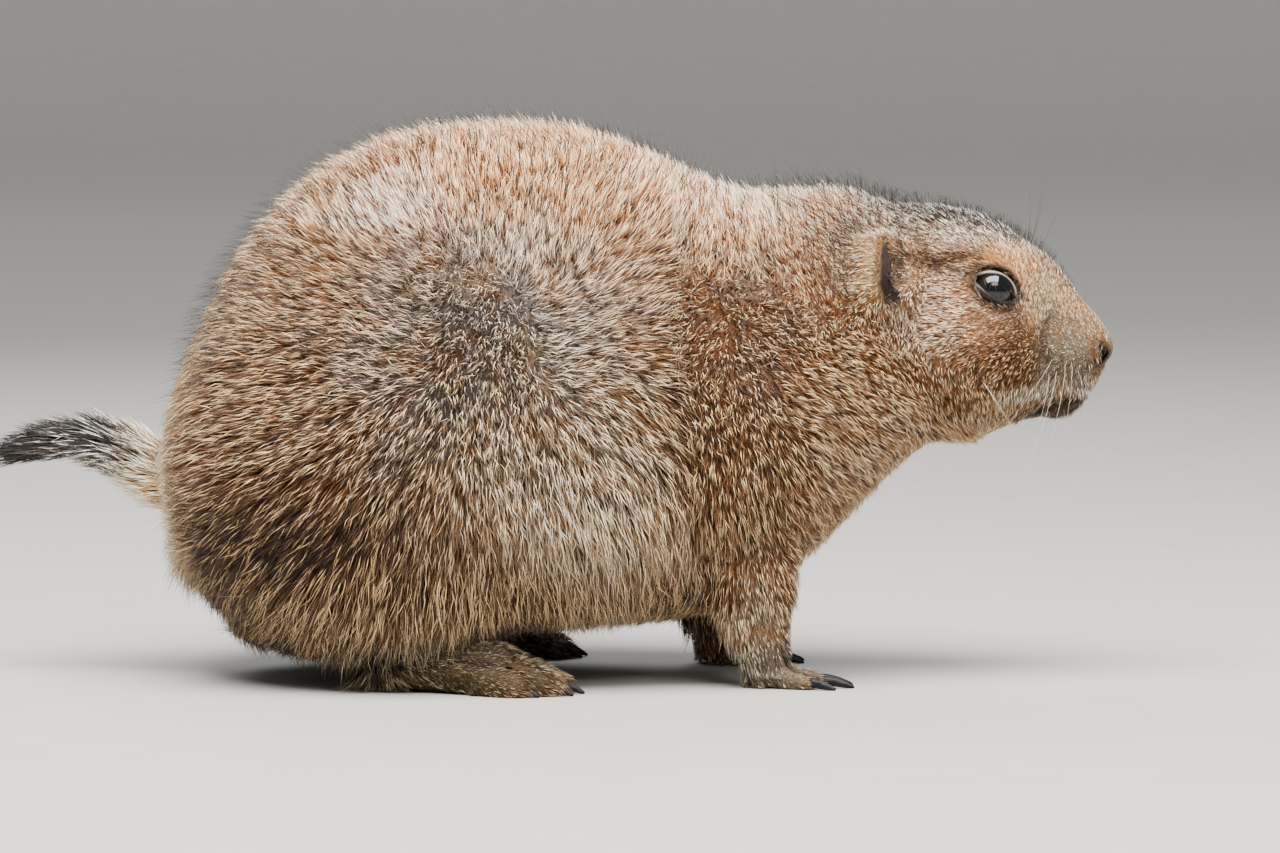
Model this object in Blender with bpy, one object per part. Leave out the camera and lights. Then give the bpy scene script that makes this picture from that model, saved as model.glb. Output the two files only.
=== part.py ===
"""A black-tailed prairie dog at life size, crouched on all fours as a still museum model.

Metres, +Z up. The nose points towards +X and the animal's right flank faces -Y.
Sizes below are in millimetres, measured from the floor and from the middle of the body.
"""

import math
import random

import bmesh
import bpy
import numpy as np
from mathutils import Vector
from mathutils.bvhtree import BVHTree

MM = 0.001
GAP = 0.3
SEED = 4
FLOOR = 0.0

# The trunk, neck and head are one lofted form, from the rump to the tip of the nose. Each station
# is a slice across it: (x, z) of its top, (x, z) of its bottom, half its width, how high up the
# slice the widest point lies, and how square the upper and lower halves are (2 is an ellipse).
STATIONS = (
    (-133.0, 57.0, -133.0, 57.0, 0.0, 0.50, 2.0, 2.0),
    (-132.2, 67.8, -131.6, 45.4, 16.0, 0.50, 2.0, 2.0),
    (-129.4, 80.1, -127.7, 32.5, 30.5, 0.50, 2.0, 2.1),
    (-123.2, 96.3, -119.8, 21.5, 42.5, 0.48, 2.0, 2.2),
    (-113.4, 116.5, -109.2, 11.0, 51.5, 0.45, 2.0, 2.5),
    (-98.0, 135.5, -96.6, 5.5, 58.0, 0.43, 2.0, 2.8),
    (-82.6, 146.2, -82.6, 3.2, 61.5, 0.42, 2.0, 3.0),
    (-67.2, 152.0, -67.2, 4.5, 63.0, 0.41, 2.0, 3.0),
    (-50.4, 154.8, -50.4, 8.5, 63.0, 0.41, 2.0, 2.9),
    (-33.6, 155.4, -33.6, 11.3, 62.0, 0.41, 2.0, 2.8),
    (-16.8, 153.4, -16.8, 12.3, 59.5, 0.41, 2.0, 2.7),
    (0.0, 148.4, 0.0, 13.2, 56.0, 0.42, 2.0, 2.5),
    (14.0, 142.0, 15.4, 14.6, 52.0, 0.42, 2.0, 2.4),
    (23.8, 138.0, 28.0, 18.0, 49.5, 0.43, 2.0, 2.3),
    (33.6, 137.2, 42.0, 26.9, 46.0, 0.44, 2.0, 2.2),
    (44.8, 137.8, 56.0, 39.5, 41.5, 0.45, 2.0, 2.1),
    (55.4, 138.3, 70.0, 52.6, 36.5, 0.45, 2.0, 2.0),
    (66.6, 136.4, 81.8, 62.2, 31.5, 0.44, 2.1, 2.0),
    (78.4, 133.8, 91.8, 65.5, 28.5, 0.42, 2.2, 2.1),
    (89.6, 131.3, 100.8, 69.2, 26.5, 0.41, 2.3, 2.2),
    (99.4, 128.2, 107.8, 71.1, 23.5, 0.41, 2.3, 2.2),
    (107.8, 123.8, 112.8, 71.7, 19.8, 0.41, 2.2, 2.2),
    (114.8, 118.2, 116.8, 72.2, 16.2, 0.41, 2.1, 2.2),
    (121.2, 110.3, 120.1, 73.9, 13.2, 0.42, 2.0, 2.2),
    (126.3, 103.3, 123.2, 76.4, 10.6, 0.44, 2.0, 2.2),
    (129.9, 97.7, 126.3, 80.6, 7.8, 0.47, 2.0, 2.1),
    (131.9, 94.1, 128.8, 85.7, 4.8, 0.50, 2.0, 2.0),
    (132.2, 90.2, 132.2, 90.2, 0.0, 0.50, 2.0, 2.0),
)
# Station numbers where one named part of the loft ends and the next begins.
RUMP_END, HIPS_END, WAIST_END, CHEST_END, NECK_END = 5, 10, 12, 15, 16
NOSE_TIP = len(STATIONS) - 1
HEAD_FINE_FROM = 18
RINGS_PER_BODY_STATION, RINGS_PER_HEAD_STATION = 2, 3
RING_POINTS = 32

# Swellings and hollows of the loft, the same on both sides: centre (x, y, z), reach, height.
SWELLS = (
    ((-56.0, 60.0, 50.0), 38.0, 3.0),  # haunch
    ((-62.0, 46.0, 12.0), 20.0, 4.5),  # hem of the coat over the heel
    ((2.0, 58.0, 66.0), 20.0, -2.5),  # flank, behind the ribs
    ((34.0, 46.0, 66.0), 25.0, 3.5),  # shoulder
    ((69.0, 33.0, 84.0), 12.0, -1.8),  # neck, behind the cheek
    ((90.0, 26.0, 88.0), 13.0, 2.0),  # cheek
    ((99.0, 17.0, 118.5), 6.5, 2.0),  # brow over the eye
    ((111.5, 14.0, 103.5), 6.5, -1.4),  # hollow before the eye
    ((119.5, 11.5, 87.0), 6.5, 1.8),  # whisker pad
    ((112.0, 13.0, 75.0), 5.0, -0.8),  # behind the corner of the mouth
    ((121.5, 7.0, 76.0), 4.5, 0.9),  # lower lip
    ((130.0, 4.5, 92.5), 2.8, 0.8),  # wing of the nostril
)

EYE_RADIUS = 6.0
EYE_SINK = 4.3  # from the skin to the middle of the eyeball
EYE_AT = (98.6, 109.9)
EYE_TILT = math.radians(-24)
LID_LONG, LID_SHORT, LID_ROUND, LID_PROUD = 6.4, 5.1, 1.2, 0.35

EAR_AT = (66.5, 115.0)
EAR_LONG, EAR_WIDE, EAR_PROUD, EAR_WALL = 9.5, 6.5, 5.0, 1.1
EAR_CANAL = (3.2, 2.6, 4.4)

NOSTRIL_AT = (129.8, 4.6, 89.4)
NOSTRIL = (1.9, 1.5, 2.1)

MOUTH_CENTRE_X, MOUTH_FRONT_Z, MOUTH_CORNER_Z = 112.0, 81.5, 75.0
MOUTH_SWEEP = math.radians(102)
MOUTH_ROUND = 0.75

# The tail curves away from the near flank: x, y, z and radius of its furry outline.
TAIL_PATH = (
    (-122.0, 0.0, 53.0, 9.5),
    (-134.0, 1.0, 56.5, 11.0),
    (-143.0, 4.0, 62.0, 9.5),
    (-152.0, 8.0, 65.5, 7.6),
    (-161.0, 12.5, 65.5, 6.4),
    (-169.0, 17.0, 63.5, 4.6),
    (-176.5, 21.5, 60.5, 1.2),
)
TAIL_SPLIT = 0.40  # share of the tail's length where the pale base ends
TAIL_CORE_END = 0.86
TAIL_BASE_LOCKS_AT = 0.22
TAIL_CORE = 0.62  # the tail's flesh and close hair, as a share of its furry outline

# Locks of long hair, flat and tapered: length, width, thickness, and how far the root is sunk.
LOCK_THICK, LOCK_SUNK = 0.34, 3.0
HEM_LOCKS, HEM_LENGTH, HEM_WIDTH = 10, 13.0, 10.0
HEM_FROM, HEM_TO, HEM_TIP_BACK, HEM_TIP_FRONT = -86.0, -33.0, 1.5, 13.0
RUMP_LOCKS, RUMP_LENGTH, RUMP_WIDTH = 9, 12.0, 10.0
RUMP_SPREAD, RUMP_ROOT_Z, RUMP_ROOT_RISE = 34.0, 15.0, 11.0
TAIL_LOCK_ROWS, TAIL_LOCKS_ROUND, TAIL_LOCK_LENGTH, TAIL_LOCK_WIDTH = 4, 5, 18.0, 7.5
TAIL_LENGTH = 66.0
LOCKS_CLEAR = 1.2  # the lowest that a tip comes to the floor

# Thigh and upper arm are parted from the trunk by an arch through its side: the middle of the
# arch (x, z), its half length, its height over that, and how near the middle plane it reaches.
THIGH = ((-59.0, 37.0), 34.0, 45.0, 34.0)
UPPER_ARM = ((31.0, 50.0), 14.5, 27.0, 24.0)
ARCH_STEPS, ARCH_BELOW, ARCH_OUTSIDE = 14, 10.0, 90.0

# Forearm: x, y, z, half thickness fore and aft, half thickness sideways.
FOREARM_PATH = (
    (33.0, 33.0, 40.0, 12.5, 10.0),
    (30.5, 33.0, 29.0, 13.6, 10.2),
    (30.5, 32.5, 19.0, 11.5, 8.8),
    (33.5, 32.0, 10.5, 8.0, 7.0),
    (35.5, 31.5, 5.6, 6.4, 6.2),
)
PALM = ((32.5, 31.5, 3.6), (40.5, 32.0, 3.2), 6.4, 3.9)
FORE_STEP_BACK = 12.0  # the left forefoot stands this far behind the right one
# Digits of the right forefoot, from the outer one to the thumb: root (x, y), yaw, length, radius.
FORE_DIGITS = (
    ((40.0, 36.6), 20.0, 6.5, 2.1),
    ((41.5, 33.6), 7.0, 8.5, 2.3),
    ((41.5, 30.2), -5.0, 8.3, 2.3),
    ((40.0, 27.2), -17.0, 6.5, 2.1),
    ((36.0, 26.2), -42.0, 3.4, 1.7),
)
FORE_CLAWS = (7.5, 8.5, 8.5, 7.5, 4.0)

# Hind foot: x, y, z, half width, half height, heel first.
HIND_PATH = (
    (-71.0, 38.5, 4.6, 5.6, 5.5),
    (-60.0, 41.0, 5.6, 6.8, 6.7),
    (-49.0, 43.5, 5.8, 7.8, 6.9),
    (-40.0, 45.5, 4.8, 8.4, 5.8),
)
HIND_DIGITS = (
    ((-43.5, 52.0), 24.0, 11.0, 2.5),
    ((-39.0, 49.8), 15.0, 14.0, 2.8),
    ((-37.5, 46.0), 9.0, 15.0, 2.8),
    ((-38.0, 42.2), 3.0, 14.0, 2.7),
    ((-43.0, 39.0), -6.0, 9.5, 2.3),
)
HIND_CLAWS = (6.0, 7.0, 7.0, 6.8, 5.0)
CLAW_ROUND = 1.25
PAD_FLAT = 1.43  # a toe's half height over its middle's height, which flattens its pad on the floor

COLOURS = {
    "coat": ((0.46, 0.31, 0.19), 0.85),
    "coat_pale": ((0.66, 0.53, 0.37), 0.85),
    "coat_dark": ((0.07, 0.06, 0.06), 0.80),
    "paw": ((0.33, 0.24, 0.15), 0.80),
    "claw": ((0.035, 0.035, 0.04), 0.35),
    "eye": ((0.008, 0.008, 0.010), 0.08),
}


def clear_scene():
    for obj in list(bpy.data.objects):
        bpy.data.objects.remove(obj)


def make_materials():
    made = {}
    for name, (colour, roughness) in COLOURS.items():
        material = bpy.data.materials.new(name)
        material.use_nodes = True
        shader = material.node_tree.nodes["Principled BSDF"]
        shader.inputs["Base Color"].default_value = (*colour, 1.0)
        shader.inputs["Roughness"].default_value = roughness
        shader.inputs["Metallic"].default_value = 0.0
        made[name] = material
    return made


def add_object(name, points, faces, material=None):
    """A mesh object from points in millimetres."""
    mesh = bpy.data.meshes.new(name)
    mesh.from_pydata([tuple(MM * float(c) for c in p) for p in points], [], faces)
    mesh.update()
    obj = bpy.data.objects.new(name, mesh)
    bpy.context.scene.collection.objects.link(obj)
    if material is not None:
        mesh.materials.append(material)
    outward(mesh)
    return obj


def outward(mesh):
    bm = bmesh.new()
    bm.from_mesh(mesh)
    bmesh.ops.recalc_face_normals(bm, faces=bm.faces)
    bm.to_mesh(mesh)
    bm.free()


def stacked(rings):
    """Points and faces of a closed form through rings of equal count. A ring of one point is a pole."""
    points, faces, starts = [], [], []
    for ring in rings:
        starts.append(len(points))
        points.extend(ring)
    count = max(len(ring) for ring in rings)
    for i in range(len(rings) - 1):
        a, b = starts[i], starts[i + 1]
        for k in range(count):
            n = (k + 1) % count
            if len(rings[i]) == 1:
                faces.append((a, b + k, b + n))
            elif len(rings[i + 1]) == 1:
                faces.append((a + k, a + n, b))
            else:
                faces.append((a + k, a + n, b + n, b + k))
    for start, ring in ((starts[0], rings[0]), (starts[-1], rings[-1])):
        if len(ring) > 1:
            faces.append(tuple(range(start, start + count)))
    return points, faces


def apply_modifiers(obj):
    graph = bpy.context.evaluated_depsgraph_get()
    mesh = bpy.data.meshes.new_from_object(obj.evaluated_get(graph))
    obj.modifiers.clear()
    obj.data = mesh


def keep_largest(obj):
    """Leaves only the closed surface that holds most, so that no scrap or sealed hollow stays."""
    bm = bmesh.new()
    bm.from_mesh(obj.data)
    bmesh.ops.triangulate(bm, faces=bm.faces)
    todo, shells = set(bm.verts), []
    while todo:
        shell, edge = set(), [todo.pop()]
        while edge:
            vert = edge.pop()
            shell.add(vert)
            for link in vert.link_edges:
                other = link.other_vert(vert)
                if other in todo:
                    todo.discard(other)
                    edge.append(other)
        shells.append(shell)
    if len(shells) > 1:
        shells.sort(key=shell_volume)
        loose = [vert for shell in shells[:-1] for vert in shell]
        bmesh.ops.delete(bm, geom=loose, context="VERTS")
    bm.to_mesh(obj.data)
    bm.free()


def shell_volume(shell):
    faces = {face for vert in shell for face in vert.link_faces}
    total = 0.0
    for face in faces:
        a, b, c = (vert.co for vert in face.verts)
        total += a.dot(b.cross(c)) / 6
    return total


def boolean(obj, others, operation, solver="EXACT"):
    """Cuts the other objects from obj, or joins them to it, and removes them."""
    group = bpy.data.collections.new("pieces")
    for other in others:
        group.objects.link(other)
    modifier = obj.modifiers.new(operation, "BOOLEAN")
    modifier.operation = operation
    modifier.solver = solver
    modifier.operand_type = "COLLECTION"
    modifier.collection = group
    apply_modifiers(obj)
    for other in others:
        bpy.data.objects.remove(other)
    bpy.data.collections.remove(group)
    keep_largest(obj)


def copied(obj):
    twin = obj.copy()
    twin.data = obj.data.copy()
    bpy.context.scene.collection.objects.link(twin)
    return twin


def spline(rows, t):
    """The rows' smooth curve at t, counted in rows. Past an end the curve goes on as its mirror image."""
    rows = np.asarray(rows, float)
    last = len(rows) - 1
    i = min(int(t), last - 1)
    u = t - i
    a = rows[i - 1] if i > 0 else 2 * rows[0] - rows[1]
    b, c = rows[i], rows[i + 1]
    d = rows[i + 2] if i + 2 <= last else 2 * rows[last] - rows[last - 1]
    return 0.5 * (2 * b + (c - a) * u + (2 * a - 5 * b + 4 * c - d) * u**2 + (3 * b - a - 3 * c + d) * u**3)


def station_at(t):
    """The loft's slice at t. Beyond a pole the slices run on mirrored, which rounds the end."""
    first, last = STATIONS[1], STATIONS[-2]
    before = (first[2], first[3], first[0], first[1], -first[4], *first[5:])
    after = (last[2], last[3], last[0], last[1], -last[4], *last[5:])
    return spline((before, *STATIONS, after), t + 1)


def loft_ring(t, grow=0.0, shift=0.0):
    """One slice of the trunk, grown outwards and shifted along its own normal."""
    xt, zt, xb, zb, half, widest, upper, lower = station_at(t)
    if half < 0.05:
        side = grow if t > NOSE_TIP / 2 else -grow
        return [Vector((xt + side, 0.0, zt))]
    bottom, top = Vector((xb, 0.0, zb)), Vector((xt, 0.0, zt))
    height = (top - bottom).length
    up = (top - bottom).normalized()
    middle = bottom + up * height * widest
    along = Vector((0, 1, 0)).cross(up)
    ring = []
    for k in range(RING_POINTS):
        angle = 2 * math.pi * k / RING_POINTS
        c, s = math.cos(angle), math.sin(angle)
        power = 2 / (upper if s >= 0 else lower)
        reach = height * (1 - widest if s >= 0 else widest)
        flat = Vector((0, math.copysign(half * abs(c) ** power, c), 0))
        offset = flat + up * math.copysign(reach * abs(s) ** power, s)
        point = middle + offset
        swell = grow
        for centre, radius, amount in SWELLS:
            away = Vector((point.x, abs(point.y), point.z)) - Vector(centre)
            swell += amount * math.exp(-away.length_squared / radius**2)
        ring.append(point + offset.normalized() * swell + along * shift)
    return ring


def loft_steps(start, end):
    steps = []
    for i in range(start, end):
        count = RINGS_PER_BODY_STATION if i < HEAD_FINE_FROM else RINGS_PER_HEAD_STATION
        if i == 0:
            count += 1
        steps.extend(i + k / count for k in range(count))
    return [*steps, end]


def trunk_part(name, start, end, material, grow=0.0):
    """The stretch of the loft between two stations, with a flat face where another part meets it."""
    rings = []
    for t in loft_steps(start, end):
        shift = GAP / 2 if t == start > 0 else -GAP / 2 if t == end < NOSE_TIP else 0.0
        rings.append(loft_ring(t, grow, shift))
    return add_object(name, *stacked(rings), material)


def ellipsoid(name, centre, radii, across=16, rings=10, material=None, axes=None):
    """An ellipsoid whose poles lie on the third axis."""
    axes = axes or (Vector((1, 0, 0)), Vector((0, 1, 0)), Vector((0, 0, 1)))
    made = []
    for i in range(rings + 1):
        tilt = math.pi * i / rings
        count = 1 if i in (0, rings) else across
        ring = []
        for k in range(count):
            turn = 2 * math.pi * k / across
            local = (
                radii[0] * math.sin(tilt) * math.cos(turn),
                radii[1] * math.sin(tilt) * math.sin(turn),
                radii[2] * math.cos(tilt),
            )
            ring.append(Vector(centre) + sum((a * l for a, l in zip(axes, local)), Vector()))
        made.append(ring)
    return add_object(name, *stacked(made), material)


def tube(name, path, sides=10, steps=3, material=None, grow=0.0, cap_rings=3, upright=False):
    """A limb through path rows (x, y, z, half width, half height), with round ends, flat on the floor.

    The half width lies across the path and level. An upright limb has it fore and aft instead.
    """
    spans = len(path) - 1
    rows = [spline(path, k / steps) for k in range(spans * steps + 1)]
    rings = []
    for i, row in enumerate(rows):
        ahead = Vector((rows[min(i + 1, len(rows) - 1)] - rows[max(i - 1, 0)])[:3]).normalized()
        guide = Vector((0, 1, 0)) if upright else Vector((0, 0, 1))
        side = ahead.cross(guide).normalized()
        lift = side.cross(ahead).normalized()
        centre, wide, high = Vector(row[:3]), row[3] + grow, row[4] + grow
        first, last = i == 0, i == len(rows) - 1
        ring = [
            centre
            + side * wide * math.cos(2 * math.pi * k / sides)
            + lift * high * math.sin(2 * math.pi * k / sides)
            for k in range(sides)
        ]
        depth = min(wide, high)
        cap = []
        for j in range(1, cap_rings + 1):
            tilt = math.pi / 2 * j / cap_rings
            end = centre + ahead * depth * math.sin(tilt) * (-1 if first else 1)
            squeezed = [end + (p - centre) * math.cos(tilt) for p in ring]
            cap.append([end] if j == cap_rings else squeezed)
        if first:
            rings.extend(reversed(cap))
        rings.append(ring)
        if last:
            rings.extend(cap)
    for ring in rings:
        for point in ring:
            point.z = max(point.z, FLOOR)
    return add_object(name, *stacked(rings), material)


def lock(root, way, face, length, width, rng):
    """A flat tapered lock of hair that leaves its root along way and sags as it goes."""
    length *= rng.uniform(0.85, 1.15)
    width *= rng.uniform(0.85, 1.15)
    sway = rng.uniform(-0.12, 0.12)
    across = way.cross(face).normalized()
    start = root - way * LOCK_SUNK - face * LOCK_SUNK * 0.5
    rings = []
    for share, wide in ((0.0, 1.0), (0.45, 1.0), (0.8, 0.60), (1.0, 0.0)):
        reach = length * share
        place = start + way * (reach + LOCK_SUNK) + across * sway * reach
        place.z = max(place.z - 0.08 * reach * share, LOCKS_CLEAR)
        half, thick = across * width * wide / 2, face * width * LOCK_THICK * wide / 2
        rings.append([place + half, place + thick, place - half, place - thick] if wide else [place])
    return add_object("lock", *stacked(rings))


def mirrored(rows, side, back=0.0):
    """Path rows of the right side, given to side -1 (right) or 1 (left) and moved back."""
    return [(row[0] - back, side * row[1], *row[2:]) for row in rows]


def surface_hit(tree, origin, direction):
    """Where a ray in millimetres meets the surface, with its normal."""
    hit, normal, _, _ = tree.ray_cast(Vector(origin) * MM, Vector(direction))
    return hit / MM, normal


def tree_of(obj):
    return BVHTree.FromObject(obj, bpy.context.evaluated_depsgraph_get())


def skin_frame(tree, at, side):
    """Point, outward normal, forward and up directions of the head's side at (x, z)."""
    point, normal = surface_hit(tree, (at[0], side * 80, at[1]), (0, -side, 0))
    if normal.y * side < 0:
        normal = -normal
    forward = (Vector((1, 0, 0)) - normal * normal.x).normalized()
    up = normal.cross(forward) * -side
    return point, normal, forward, up.normalized()


def eye_frame(tree, side):
    point, normal, forward, up = skin_frame(tree, EYE_AT, side)
    long_way = forward * math.cos(EYE_TILT) + up * math.sin(EYE_TILT)
    short_way = up * math.cos(EYE_TILT) - forward * math.sin(EYE_TILT)
    return point - normal * EYE_SINK, normal, long_way, short_way


def loop_tube(name, centres, radius, sides, closed_with=None):
    """A closed ring of round section through centres, or an open one with pointed ends."""
    count = len(centres)
    rings = []
    for i, centre in enumerate(centres):
        if closed_with is not None:
            ahead = (centres[(i + 1) % count] - centres[i - 1]).normalized()
            out = (centre - closed_with).normalized()
            size = radius
        else:
            ahead = (centres[min(i + 1, count - 1)] - centres[max(i - 1, 0)]).normalized()
            out = Vector((0, 0, 1))
            size = radius * min(1.0, 0.35 + 0.35 * min(i, count - 1 - i))
        side = ahead.cross(out).normalized()
        lift = side.cross(ahead).normalized()
        turns = [2 * math.pi * k / sides for k in range(sides)]
        rings.append([centre + (side * math.cos(a) + lift * math.sin(a)) * size for a in turns])
    if closed_with is None:
        return add_object(name, *stacked(rings))
    points, faces = stacked([*rings, rings[0]])
    points = points[:-sides]
    wrapped = [tuple(i % len(points) for i in face) for face in faces if len(face) == 4]
    return add_object(name, points, wrapped)


def make_lid(tree, side):
    middle, normal, long_way, short_way = eye_frame(tree, side)
    centres = []
    steps = 16
    for k in range(steps):
        angle = 2 * math.pi * k / steps
        across, up = LID_LONG * math.cos(angle), LID_SHORT * math.sin(angle)
        above = middle + long_way * across + short_way * up + normal * 3 * EYE_SINK
        point, _ = surface_hit(tree, above, -normal)
        centres.append(point + normal * LID_PROUD)
    return loop_tube("lid", centres, LID_ROUND, 6, closed_with=middle)


def make_mouth_cutter(tree):
    """A thin round groove round the muzzle, from one corner of the mouth to the other."""
    centres = []
    steps = 18
    for k in range(steps + 1):
        share = 2 * k / steps - 1
        turn = share * MOUTH_SWEEP
        height = MOUTH_FRONT_Z + (MOUTH_CORNER_Z - MOUTH_FRONT_Z) * abs(share) ** 0.8
        origin = (MOUTH_CENTRE_X, 0.0, height)
        point, _ = surface_hit(tree, origin, (math.cos(turn), math.sin(turn), 0.0))
        centres.append(point)
    return loop_tube("mouth", centres, MOUTH_ROUND, 5)


def make_ear(tree, head_grown, side, material):
    """A low cup, open to the front, standing on the side of the head."""
    point, normal, forward, up = skin_frame(tree, EAR_AT, side)
    name = "ear_right" if side < 0 else "ear_left"
    axes = (forward, normal, up)
    outer = (EAR_WIDE, EAR_PROUD, EAR_LONG)
    ear = ellipsoid(name, point, outer, 16, 10, material, axes)
    scooped = point + forward * EAR_WIDE * 0.55 + normal * EAR_WALL * 0.6
    inner = tuple(r - EAR_WALL for r in outer)
    scoop = ellipsoid("scoop", scooped, (inner[0] * 1.25, inner[1], inner[2]), 14, 8, None, axes)
    boolean(ear, [scoop, head_grown], "DIFFERENCE")
    return ear


def make_head(materials):
    """The head with its lids, eye sockets, nostrils, mouth and ear canals, and what sits on it."""
    head = trunk_part("head", NECK_END, NOSE_TIP, materials["coat"])
    tree = tree_of(head)
    for side in (-1, 1):
        grown = trunk_part("grown", NECK_END - 1, NOSE_TIP, None, grow=GAP)
        make_ear(tree, grown, side, materials["coat_pale"])
    boolean(head, [make_lid(tree, -1), make_lid(tree, 1)], "UNION")
    cutters = [make_mouth_cutter(tree)]
    for side in (-1, 1):
        middle, normal, long_way, short_way = eye_frame(tree, side)
        axes = (long_way, short_way, normal)
        name = "eye_right" if side < 0 else "eye_left"
        ball = (EYE_RADIUS,) * 3
        ellipsoid(name, middle, ball, 16, 8, materials["eye"], axes)
        socket = (EYE_RADIUS + GAP,) * 3
        cutters.append(ellipsoid("socket", middle, socket, 16, 8, None, axes))
        x, y, z = NOSTRIL_AT
        cutters.append(ellipsoid("nostril", (x, side * y, z), NOSTRIL, 10, 6))
        point, normal, forward, up = skin_frame(tree, EAR_AT, side)
        canal = point + forward * EAR_WIDE * 0.75
        cutters.append(ellipsoid("canal", canal, EAR_CANAL, 12, 8, None, (forward, normal, up)))
    boolean(head, cutters, "DIFFERENCE")
    return head


def arch_cutter(shape, side, grow=0.0):
    """A prism through one flank, arched above and straight below, which parts a limb from the trunk."""
    (x, z), long, high, inner = shape
    turns = [math.pi * k / ARCH_STEPS for k in range(ARCH_STEPS + 1)]
    outline = [((long + grow) * math.cos(a), (high + grow) * math.sin(a)) for a in turns]
    outline += [(-long - grow, -z - ARCH_BELOW), (long + grow, -z - ARCH_BELOW)]
    rings = []
    for y in (inner - grow, ARCH_OUTSIDE):
        rings.append([Vector((x + a, side * y, z + b)) for a, b in outline])
    return add_object("arch", *stacked(rings))


def part_limb_root(trunk, name, shape, side):
    """Splits the arch out of the trunk part as a node of its own."""
    root = copied(trunk)
    root.name = name
    boolean(root, [arch_cutter(shape, side)], "INTERSECT")
    boolean(trunk, [arch_cutter(shape, side, GAP)], "DIFFERENCE")
    return root


def claw(name, root, yaw, side, length, radius, drop, material=None, grow=0.0):
    """A curved claw that tapers to a blunt tip just over the floor."""
    ahead = Vector((math.cos(yaw), side * math.sin(yaw), 0))
    rows = []
    for k, share in enumerate((0.0, 0.35, 0.7, 1.0)):
        fall = drop * share**1.6
        place = Vector(root) + ahead * length * share - Vector((0, 0, fall))
        size = radius * (1.0, 0.86, 0.60, 0.22)[k]
        rows.append((*place, size * 0.8, size * 1.1))
    return tube(name, rows, 5, 1, material, grow, cap_rings=1)


def digit(root, yaw, side, length, radius):
    """A toe that arches and comes down to the floor, and where its claw starts."""
    ahead = Vector((math.cos(yaw), side * math.sin(yaw), 0))
    start = Vector(root)
    rows = []
    for share, height in ((0.0, 0.92), (0.5, 0.88), (1.0, 0.72)):
        place = start + ahead * length * share
        rows.append((place.x, place.y, radius * height, radius, radius * height * PAD_FLAT))
    toe = tube("toe", rows, 8, 1, cap_rings=2)
    end = start + ahead * (length + radius * 0.1)
    return toe, (end.x, end.y, radius * 0.95)


def make_foot(name, base, digits, claw_lengths, side, back, material, claw_material, kind):
    """A foot with its toes, and each claw as a node of its own set in its toe."""
    which = "right" if side < 0 else "left"
    foot = base
    foot.name = f"{name}_{which}"
    toes, claws = [], []
    for i, ((root, yaw, length, radius), long) in enumerate(zip(digits, claw_lengths)):
        start = (root[0] - back, side * root[1], 0.0)
        toe, tip = digit(start, math.radians(yaw), side, length, radius)
        toes.append(toe)
        claws.append((i, tip, math.radians(yaw), long))
    boolean(foot, toes, "UNION")
    cutters = []
    for i, tip, yaw, long in claws:
        drop = tip[2] - CLAW_ROUND * 0.3
        label = f"claw_{kind}_{which}_{i + 1}"
        claw(label, tip, yaw, side, long, CLAW_ROUND, drop, claw_material)
        cutters.append(claw("pocket", tip, yaw, side, long, CLAW_ROUND, drop, None, GAP))
    boolean(foot, cutters, "DIFFERENCE")
    return foot


def make_forefoot(side, materials):
    back = FORE_STEP_BACK if side > 0 else 0.0
    heel, ball, wide, high = PALM
    rows = mirrored(((*heel, wide, high), (*ball, wide, high * 0.9)), side, back)
    palm = tube("palm", rows, 10, 2, materials["paw"], cap_rings=2)
    return make_foot(
        "forefoot", palm, FORE_DIGITS, FORE_CLAWS, side, back, materials["paw"], materials["claw"], "fore"
    )


def make_hindfoot(side, materials):
    sole = tube("sole", mirrored(HIND_PATH, side), 12, 2, materials["paw"], cap_rings=2)
    return make_foot(
        "hindfoot", sole, HIND_DIGITS, HIND_CLAWS, side, 0.0, materials["paw"], materials["claw"], "hind"
    )


def make_forearm(name, side, material, grow=0.0):
    back = FORE_STEP_BACK if side > 0 else 0.0
    return tube(name, mirrored(FOREARM_PATH, side, back), 12, 2, material, grow, cap_rings=2, upright=True)


def tail_rows(start, end, count):
    spans = len(TAIL_PATH) - 1
    rows = []
    for k in range(count + 1):
        x, y, z, radius = spline(TAIL_PATH, spans * (start + (end - start) * k / count))
        rows.append((x, y, z, radius * TAIL_CORE, radius * TAIL_CORE))
    return rows


def hem_locks(thigh, side, rng):
    """The hem of the coat over the heel, where it hangs from the lower flank nearly to the floor."""
    tree = tree_of(thigh)
    locks = []
    for k in range(HEM_LOCKS):
        share = k / (HEM_LOCKS - 1)
        x = HEM_FROM + (HEM_TO - HEM_FROM) * share
        z = HEM_LENGTH + HEM_TIP_BACK + (HEM_TIP_FRONT - HEM_TIP_BACK) * share
        point, _ = surface_hit(tree, (x, side * 90, z), (0, -side, 0))
        way = Vector((-0.10, side * 0.10, -1)).normalized()
        locks.append(lock(point, way, Vector((0, side, 0)), HEM_LENGTH, HEM_WIDTH, rng))
    return locks


def rump_locks(rump, rng):
    """The fringe under the rump, which hangs down and back."""
    tree = tree_of(rump)
    locks = []
    for k in range(RUMP_LOCKS):
        share = 2 * k / (RUMP_LOCKS - 1) - 1
        origin = (-200, RUMP_SPREAD * share, RUMP_ROOT_Z + RUMP_ROOT_RISE * share**2)
        point, _ = surface_hit(tree, origin, (1, 0, 0))
        face = Vector((-1, 0.7 * share, -0.2)).normalized()
        way = Vector((0.45, 0.2 * share, -1)).normalized()
        locks.append(lock(point, way, face, RUMP_LENGTH, RUMP_WIDTH, rng))
    return locks


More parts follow.
